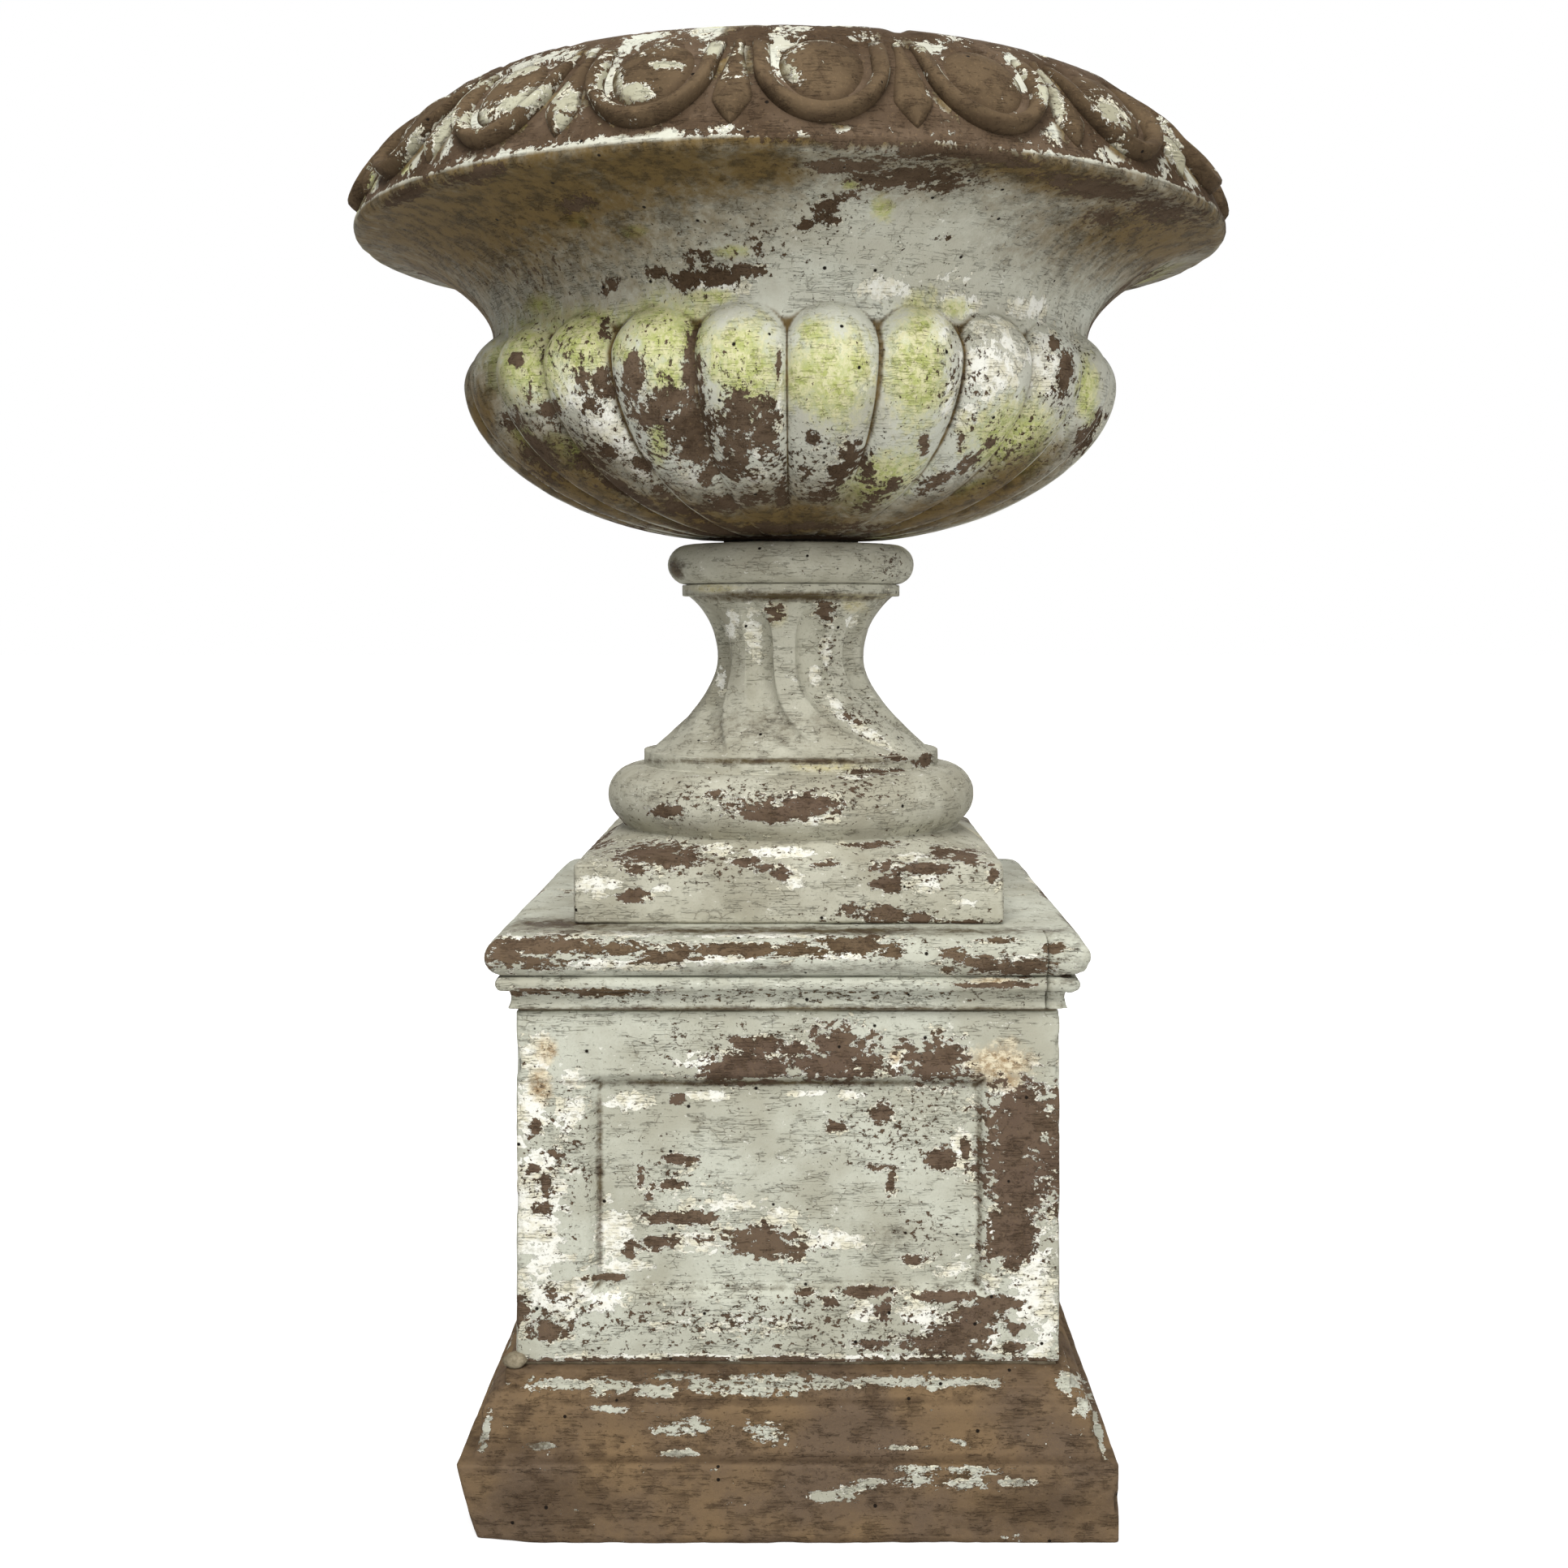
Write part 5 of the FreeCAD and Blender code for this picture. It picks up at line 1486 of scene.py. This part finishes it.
def crest_radius(z):
    fall = np.clip((Z_BELLY - z) / (BELLY_RISE + BELLY_FLAT), 0, 1)
    rise = np.clip((z - Z_BELLY) / HEAD_RISE, 0, 1)
    below = BELLY * (1 - fall ** BELLY_SQUARENESS) ** BELLY_FULLNESS
    return np.where(z < Z_BELLY, below, BELLY - HEAD_DROP * (1 - np.sqrt(1 - rise ** 2)))


def gadrooned(azimuth, z):
    """Radius of the belly: lobes with deep grooves, whose heads dip under the neck."""
    across = np.abs((azimuth * GADROONS / TAU) % 1 * 2 - 1)
    lobe = (1 - across ** GADROON_ROUNDNESS) ** GADROON_FULLNESS
    crest = crest_radius(z)
    rise = np.clip((z - Z_BELLY) / HEAD_RISE, 0, 1)
    depth = GADROON_DEPTH * np.sqrt(crest / BELLY) * (1 + HEAD_GROOVE * rise ** 2)
    lobed = crest - depth * (1 - lobe)
    buried = NECK * smooth(z, Z_BELLY - HEAD_BELOW, Z_BELLY + HEAD_ABOVE)
    return soft_most(lobed, buried, GADROON_SOFTNESS)


def cavetto_radius(z):
    rise = (z - Z_NECK) / CAVETTO_HEIGHT
    return mix(CAVETTO_LIP, NECK, np.maximum(0.0, 1 - rise ** CAVETTO_SQUARENESS) ** CAVETTO_FULLNESS)


def band_point(up, out):
    """Radius and height of a point up the slope of the rim band, and out from its chord."""
    return BAND_FOOT + up * BAND_LEAN + out * BAND_CLIMB, Z_BAND + up * BAND_CLIMB - out * BAND_LEAN


def band_ground(up):
    """How far the swollen ground of the band stands out from its chord."""
    bend = (BAND_SWELL - BAND_SWELL / 4) / (BAND_PLAIN / 2) ** 2
    middle = BAND_PLAIN / 2
    return BAND_SWELL * up / BAND_PLAIN / 2 + bend * (middle ** 2 - (up - middle) ** 2)


def plain_ground(up):
    """The same, level beyond the ends of the plain ground."""
    return band_ground(np.clip(up, 0, BAND_PLAIN))


def bowl_rim_outline():
    fall = 1 - np.linspace(0, 1, CAVETTO_ROWS)
    heights = Z_NECK + CAVETTO_HEIGHT * (1 - fall ** CAVETTO_SQUARENESS)
    points = [(float(cavetto_radius(z)), float(z)) for z in heights]
    points += arc(points[-1], (LIP, Z_LIP + LIP_BULGE * LIP_HEIGHT), (BAND_FOOT, Z_BAND), steps=8)
    points += [band_point(up, band_ground(up)) for up in np.linspace(0, BAND_PLAIN, BAND_ROWS)[1:]]
    points += [band_point(BAND_PLAIN + RIM_RELIEF, BAND_SWELL / 2 + RIM_RELIEF)]
    points += [(BAND_TOP, Z_BAND_TOP), (BAND_TOP - 2 * RIM_ROUND, Z_RIM), (MOUTH, Z_RIM)]
    return np.array(points)


def bowl_inner_outline():
    """Down the inside, through the drain and round the spigot to the edge of the boss."""
    floor = Z_BOWL + BOWL_WALL
    belly = BELLY - BELLY_INSET - BOWL_WALL
    neck = NECK - BOWL_WALL
    lip = (INNER_LIP, Z_BAND + INNER_LIP_RISE)
    boss = (BOSS, Z_BOWL - BOSS_LEDGE)
    points = [(MOUTH, Z_BAND_TOP - BOWL_WALL / 2), lip]
    points += [(mix(neck, lip[0], out), mix(Z_NECK, lip[1], up)) for out, up in INNER_CAVETTO]
    points += [(out * belly, mix(floor, Z_BELLY, up)) for out, up in INNER_BELLY]
    points += [(DRAIN, floor), (DRAIN, Z_SPIGOT), (SPIGOT, Z_SPIGOT), (SPIGOT, Z_SEAT), (BOSS, Z_SEAT), boss]
    outline = spaced(softened(points, BOWL_EASE), INNER_STEP)
    at_boss = np.hypot(*(outline - boss).T) < BOWL_EASE / 2
    return outline[:np.argmax(at_boss) + 1]


def bowl_points():
    """The bowl's skin, and how many of its rows are on the outside."""
    quarter = np.pi / 2
    front = np.linspace(-quarter, quarter, FRONT_STEPS, endpoint=False)
    back = np.linspace(quarter, 3 * quarter, BACK_STEPS, endpoint=False)
    azimuth = np.concatenate([front, back])
    belly_levels = Z_BOWL + BELLY_RISE * (1 - np.cos(np.linspace(0, 1, BELLY_ROWS) * quarter))
    head_levels = np.linspace(Z_BELLY, Z_NECK, HEAD_ROWS)[1:-1]
    ring = round_ring(azimuth)
    rim = bowl_rim_outline()
    lobed = np.concatenate([belly_levels, head_levels])
    rows = [at_height(ring * gadrooned(azimuth, z)[:, None], z) for z in lobed]
    rows += [at_height(ring * radius, z) for radius, z in np.concatenate([rim, bowl_inner_outline()])]
    return np.array(rows), len(lobed) + len(rim)


def sprig_shade(points):
    """Painted shade on the ground of the band, close to the frames and darts."""
    pitch = TAU / SPRIGS
    away = (azimuth_of(points) - np.radians(FIRST_EGG) + pitch / 2) % pitch - pitch / 2
    radius = np.hypot(points[..., X], points[..., Y])
    up = (points[..., Z] - Z_BAND) / BAND_CLIMB
    low = np.minimum(up - EGG_UP, 0)
    frame_gap = np.abs(np.hypot(away * radius, low * FRAME_WIDE / FRAME_LONG) - FRAME_WIDE)
    dart_gap = np.abs((pitch / 2 - np.abs(away)) * radius - DART_MIDDLE * DART_WIDE)
    dart_gap = dart_gap + BELOW_DARTS * (up < DART_TIP)
    return 1 - smooth(np.minimum(frame_gap, dart_gap), *NEAR_SPRIG)


def bowl_layers(points, arris, outer_rows):
    """Patches of the bowl and, on its band, of the rim; the inside is bare and dirty."""
    normals = sheet_normals(points)
    z = points[..., Z]
    wild = wild_layers(points, WILD_BOWL)
    layers = weathering(points, normals, BOWL_PATCHES, URN_STAND, wild)
    rim = weathering(points, normals, RIM_PATCHES, URN_STAND, wild)
    on_band = smooth(z - Z_BAND, *BAND_MARGIN)
    rim["pale"] = -1.0
    for kind in ("bare", "pale", "lichen", "grime_and_shade"):
        layers[kind] = mix(layers[kind], rim[kind], on_band)
    crevice = smooth(hollowness(points, normals, NEAR), *SHARP)
    valley = smooth(hollowness(points, normals, FAR), *VALLEY) * (z < Z_NECK)
    # Painted shade under the lip, darker towards it.
    shade_under_lip = smooth(z, Z_NECK + LIP_SHADE_UP, Z_LIP) * (1 - on_band)
    near_sprigs = mix(-1.0, SHADE_GAIN * sprig_shade(points) + SHADE_START, on_band)
    # Painted shade on the ground of the band beside the frames and darts.
    add_dirt_and_shade(layers, near_sprigs, gain=1.0, start=0.0)
    # Painted shade with some staining in the grooves between the gadroons and in other crevices.
    add_dirt_and_shade(layers, np.maximum(crevice, valley), gain=1.4, start=-0.7)
    add_dirt_and_shade(layers, shade_under_lip, gain=1.0, start=-0.8)
    layers["bare"][outer_rows:] = 1.0
    layers["grime_and_shade"][outer_rows:] = INSIDE_DIRT
    add_wear(layers, arris, gain=0.2)
    return layers


def build_bowl():
    points, outer_rows = bowl_points()
    points, arris = worn(points, unevenness=0.9, chips=3.0, seed=53)
    z = np.minimum(points[..., Z], Z_RIM)
    points[..., Z] = np.where(z < Z_BOWL, np.maximum(z, Z_SPIGOT), z)
    layers = bowl_layers(points, arris, outer_rows)
    piece("weathered_bowl", closed_skin(points), layers, painted_bowl, "bowl", "bowl")


# Sprigs on the rim band: grids of places across, up and out from the band

WILD_RIM = {"coat": 0.58, "lichen": 0.72, "grime_and_shade": 0.6}
SPRIG_WAVER = 1.1
SPRIG_GRAIN = 0.5
SPRIG_FOOT = 5.0
FRAME_SECTION = (
    (0.0, -1.0), (0.03, 0.55), (0.1, 0.88), (0.24, 1.0), (0.42, 0.99),
    (0.62, 0.9), (0.82, 0.72), (0.95, 0.5), (1.0, -1.0),
)


def on_band_points(across, up, out, azimuth):
    """Points of a sprig bent round the rim band."""
    radius, z = band_point(up, out)
    turn = azimuth + across / band_point(up, 0.0)[0]
    return np.concatenate([round_ring(turn) * radius[..., None], z[..., None]], axis=-1)


def egg_grid():
    """A smooth egg, from its crown to below the ground of the band."""
    spokes = np.linspace(0, TAU, EGG_SPOKES, endpoint=False)
    rings = np.sin(np.linspace(EGG_CENTRE, 1, EGG_RINGS) * np.pi / 2)
    spoke, ring = np.meshgrid(spokes, rings, indexing="ij")
    across = EGG_WIDE * ring * np.cos(spoke)
    up = EGG_UP + EGG_LONG * ring * np.sin(spoke)
    out = EGG_RELIEF * np.sqrt(np.maximum(1 - ring ** EGG_ROUNDNESS, 0)) - EGG_LOWERED
    return across, up, np.maximum(out, -SPRIG_SINK)


def crown_relief(up):
    return CROWN_RELIEF - (up - CROWN_UP) ** 2 / (2 * CROWN_RADIUS)


def frame_path():
    """The middle line of a horseshoe frame, and the directions away from its egg."""
    sides = np.linspace(BAND_PLAIN + SPRIG_OVERLAP, EGG_UP, FRAME_SIDE_ROWS)[:-1]
    bow = np.linspace(0, np.pi, FRAME_BOW_ROWS)
    wide = FRAME_WIDE - FRAME_WIDTH / 2
    long = FRAME_LONG - FRAME_WIDTH / 2
    x = np.concatenate([np.full(len(sides), -wide), -wide * np.cos(bow), np.full(len(sides), wide)])
    y = np.concatenate([sides, EGG_UP - long * np.sin(bow), sides[::-1]])
    path = np.stack([x, y], axis=-1)
    run = unit(np.gradient(path, axis=0))
    return path, np.stack([run[:, 1], -run[:, 0]], axis=-1)


def frame_grid():
    """A horseshoe frame: steep outside, thick below, sloping in to the egg."""
    path, outward = frame_path()
    across, up, out = [], [], []
    for share, lift in FRAME_SECTION:
        place = path + outward * (0.5 - share) * FRAME_WIDTH
        ground = plain_ground(place[:, 1])
        top = np.maximum(crown_relief(place[:, 1]), ground + FRAME_LEAST)
        across.append(place[:, 0])
        up.append(place[:, 1])
        out.append(mix(ground, top, lift) if lift > 0 else ground - SPRIG_SINK)
    return np.array(across), np.array(up), np.array(out)


def dart_grid():
    """A dart with a round shoulder, a ridged back and a narrow stem."""
    climb = np.linspace(0, 1, DART_ROWS)
    up = mix(DART_TIP, BAND_PLAIN + SPRIG_OVERLAP, climb)
    shoulder = np.clip(climb / DART_SHOULDER, 0, 1) ** DART_SHOULDER_CURVE
    head = shoulder * (1 - DART_TAPER * smooth(climb, *DART_TAPER_RANGE))
    wide = np.maximum(DART_WIDE * head, DART_NARROW)
    nose = np.sqrt(np.clip(climb / DART_NOSE, DART_NOSE_LEAST, 1))
    relief = DART_RELIEF * (1 - DART_FADE * smooth(climb, *DART_FADE_RANGE)) * nose
    shares = np.linspace(-1, 1, DART_COLUMNS)[:, None]
    across = shares * wide
    bulge = 1 - np.abs(shares) ** DART_ROUNDNESS
    ground = plain_ground(up)
    ridge = ground + np.maximum(relief - ground, DART_LEAST) * bulge
    out = np.where(bulge > 0, ridge, ground - SPRIG_SINK)
    return across, np.broadcast_to(up, across.shape), out


def sprig(grid, azimuth):
    """The points and layers of one sprig."""
    across, up, out = grid
    points = on_band_points(across, up, out, azimuth)
    wobble = SPRIG_WAVER * swinging(points, size=30.0, seed=61, octaves=3)
    wobble = wobble + SPRIG_GRAIN * swinging(points, size=8.0, seed=67, octaves=2)
    points = points + unit(level_part(points)) * wobble[..., None]
    wild = wild_layers(points, WILD_RIM)
    layers = weathering(points, tube_normals(points), RIM_PATCHES, URN_STAND, wild)
    layers["pale"] = np.full_like(out, -1.0)
    # Painted shade at the foot of each sprig, where it stands on the band.
    add_dirt_and_shade(layers, smooth(out - plain_ground(up), 0.0, SPRIG_FOOT), gain=-1.5, start=0.7)
    return points, layers


def build_sprigs(name, grid, first, node):
    """One ring of sprigs as separate closed skins."""
    turns = first + TAU * np.arange(SPRIGS) / SPRIGS
    sprigs = [sprig(grid, turn) for turn in turns]
    skin = joined([tube_skin(points) for points, layers in sprigs])
    layers = {kind: np.stack([layers[kind] for points, layers in sprigs]) for kind in KINDS}
    piece(name, skin, layers, rim_clay, "bowl", node)


def dress(node, material):
    """Gives a finish to a node that keeps its solid."""
    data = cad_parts[node].data
    data.materials.clear()
    data.materials.append(material)


build_base()
build_bed()
build_die()
build_cap()
build_corner()
build_socle()
build_bowl()
first_egg = np.radians(FIRST_EGG)
build_sprigs("weathered_eggs", egg_grid(), first_egg, "rim_eggs")
build_sprigs("weathered_frames", frame_grid(), first_egg, "rim_egg_frames")
build_sprigs("weathered_darts", dart_grid(), first_egg + TAU / SPRIGS / 2, "rim_darts")
dress("cap_bed", mortar)
dress("seat_ring", packing)


# Stage, light and camera, in metres

FLOOR_REACH = 30.0
FLOOR_GLOW_NEAR = 0.62
FLOOR_GLOW_FAR = 1.1
WORLD_LIGHT = 0.3
TARGET = Vector((0.0, 0.0, 0.65))


def floor_material():
    """A pale floor that looks white to the camera and keeps the shadow round the foot."""
    g = Graph(bpy.data.materials.new("pale_floor"))
    away = g.node("ShaderNodeVectorMath", {0: g.object_place()}, operation="LENGTH").outputs["Value"]
    glow = g.step(away, low=0.4, high=1.6, least=FLOOR_GLOW_NEAR, most=FLOOR_GLOW_FAR)
    g.shade(Base_Color=FLOOR_GREY, Roughness=0.9, Specular_IOR_Level=0.0)
    g.shade(Emission_Color=WHITE, Emission_Strength=g.times(g.seen(), glow))
    return g.owner


def build_stage():
    bpy.ops.mesh.primitive_plane_add(size=2 * FLOOR_REACH, location=(0, 0, 0))
    floor = bpy.context.object
    floor.name = "floor"
    floor.data.materials.append(floor_material())


def build_world():
    world = bpy.data.worlds.new("studio")
    bpy.context.scene.world = world
    g = Graph(world)
    inputs = {"Value": g.seen(), "To Min": WORLD_LIGHT, "To Max": 1.0}
    strength = g.node("ShaderNodeMapRange", inputs).outputs[0]
    back = g.nodes["Background"]
    g.put(WHITE, back.inputs["Color"])
    g.put(strength, back.inputs["Strength"])


def build_lamp(name, place, size, power):
    data = bpy.data.lights.new(name, "AREA")
    data.shape = "DISK"
    data.size = size
    data.energy = power
    lamp = bpy.data.objects.new(name, data)
    lamp.location = place
    lamp.rotation_euler = (TARGET - Vector(place)).to_track_quat("-Z", "Y").to_euler()
    bpy.context.scene.collection.objects.link(lamp)


def build_camera():
    data = bpy.data.cameras.new("camera")
    data.sensor_width = SENSOR
    data.lens = PHOTO_FOCUS / PHOTO_SIZE * SENSOR
    data.shift_x = 0.5 - PHOTO_CENTRE[0] / PHOTO_SIZE
    data.shift_y = PHOTO_CENTRE[1] / PHOTO_SIZE - 0.5
    camera = bpy.data.objects.new("camera", data)
    camera.location = [value * MM for value in EYE]
    camera.rotation_euler = (np.pi / 2, 0, 0)
    bpy.context.scene.collection.objects.link(camera)
    bpy.context.scene.camera = camera


build_stage()
build_world()
build_lamp("key", place=(-0.5, -2.7, 3.6), size=2.2, power=150.0)
build_lamp("fill", place=(1.5, -3.3, 1.2), size=2.0, power=48.0)
build_lamp("back", place=(0.4, 2.8, 3.0), size=2.4, power=50.0)
build_camera()
bpy.context.scene.view_settings.view_transform = "Standard"
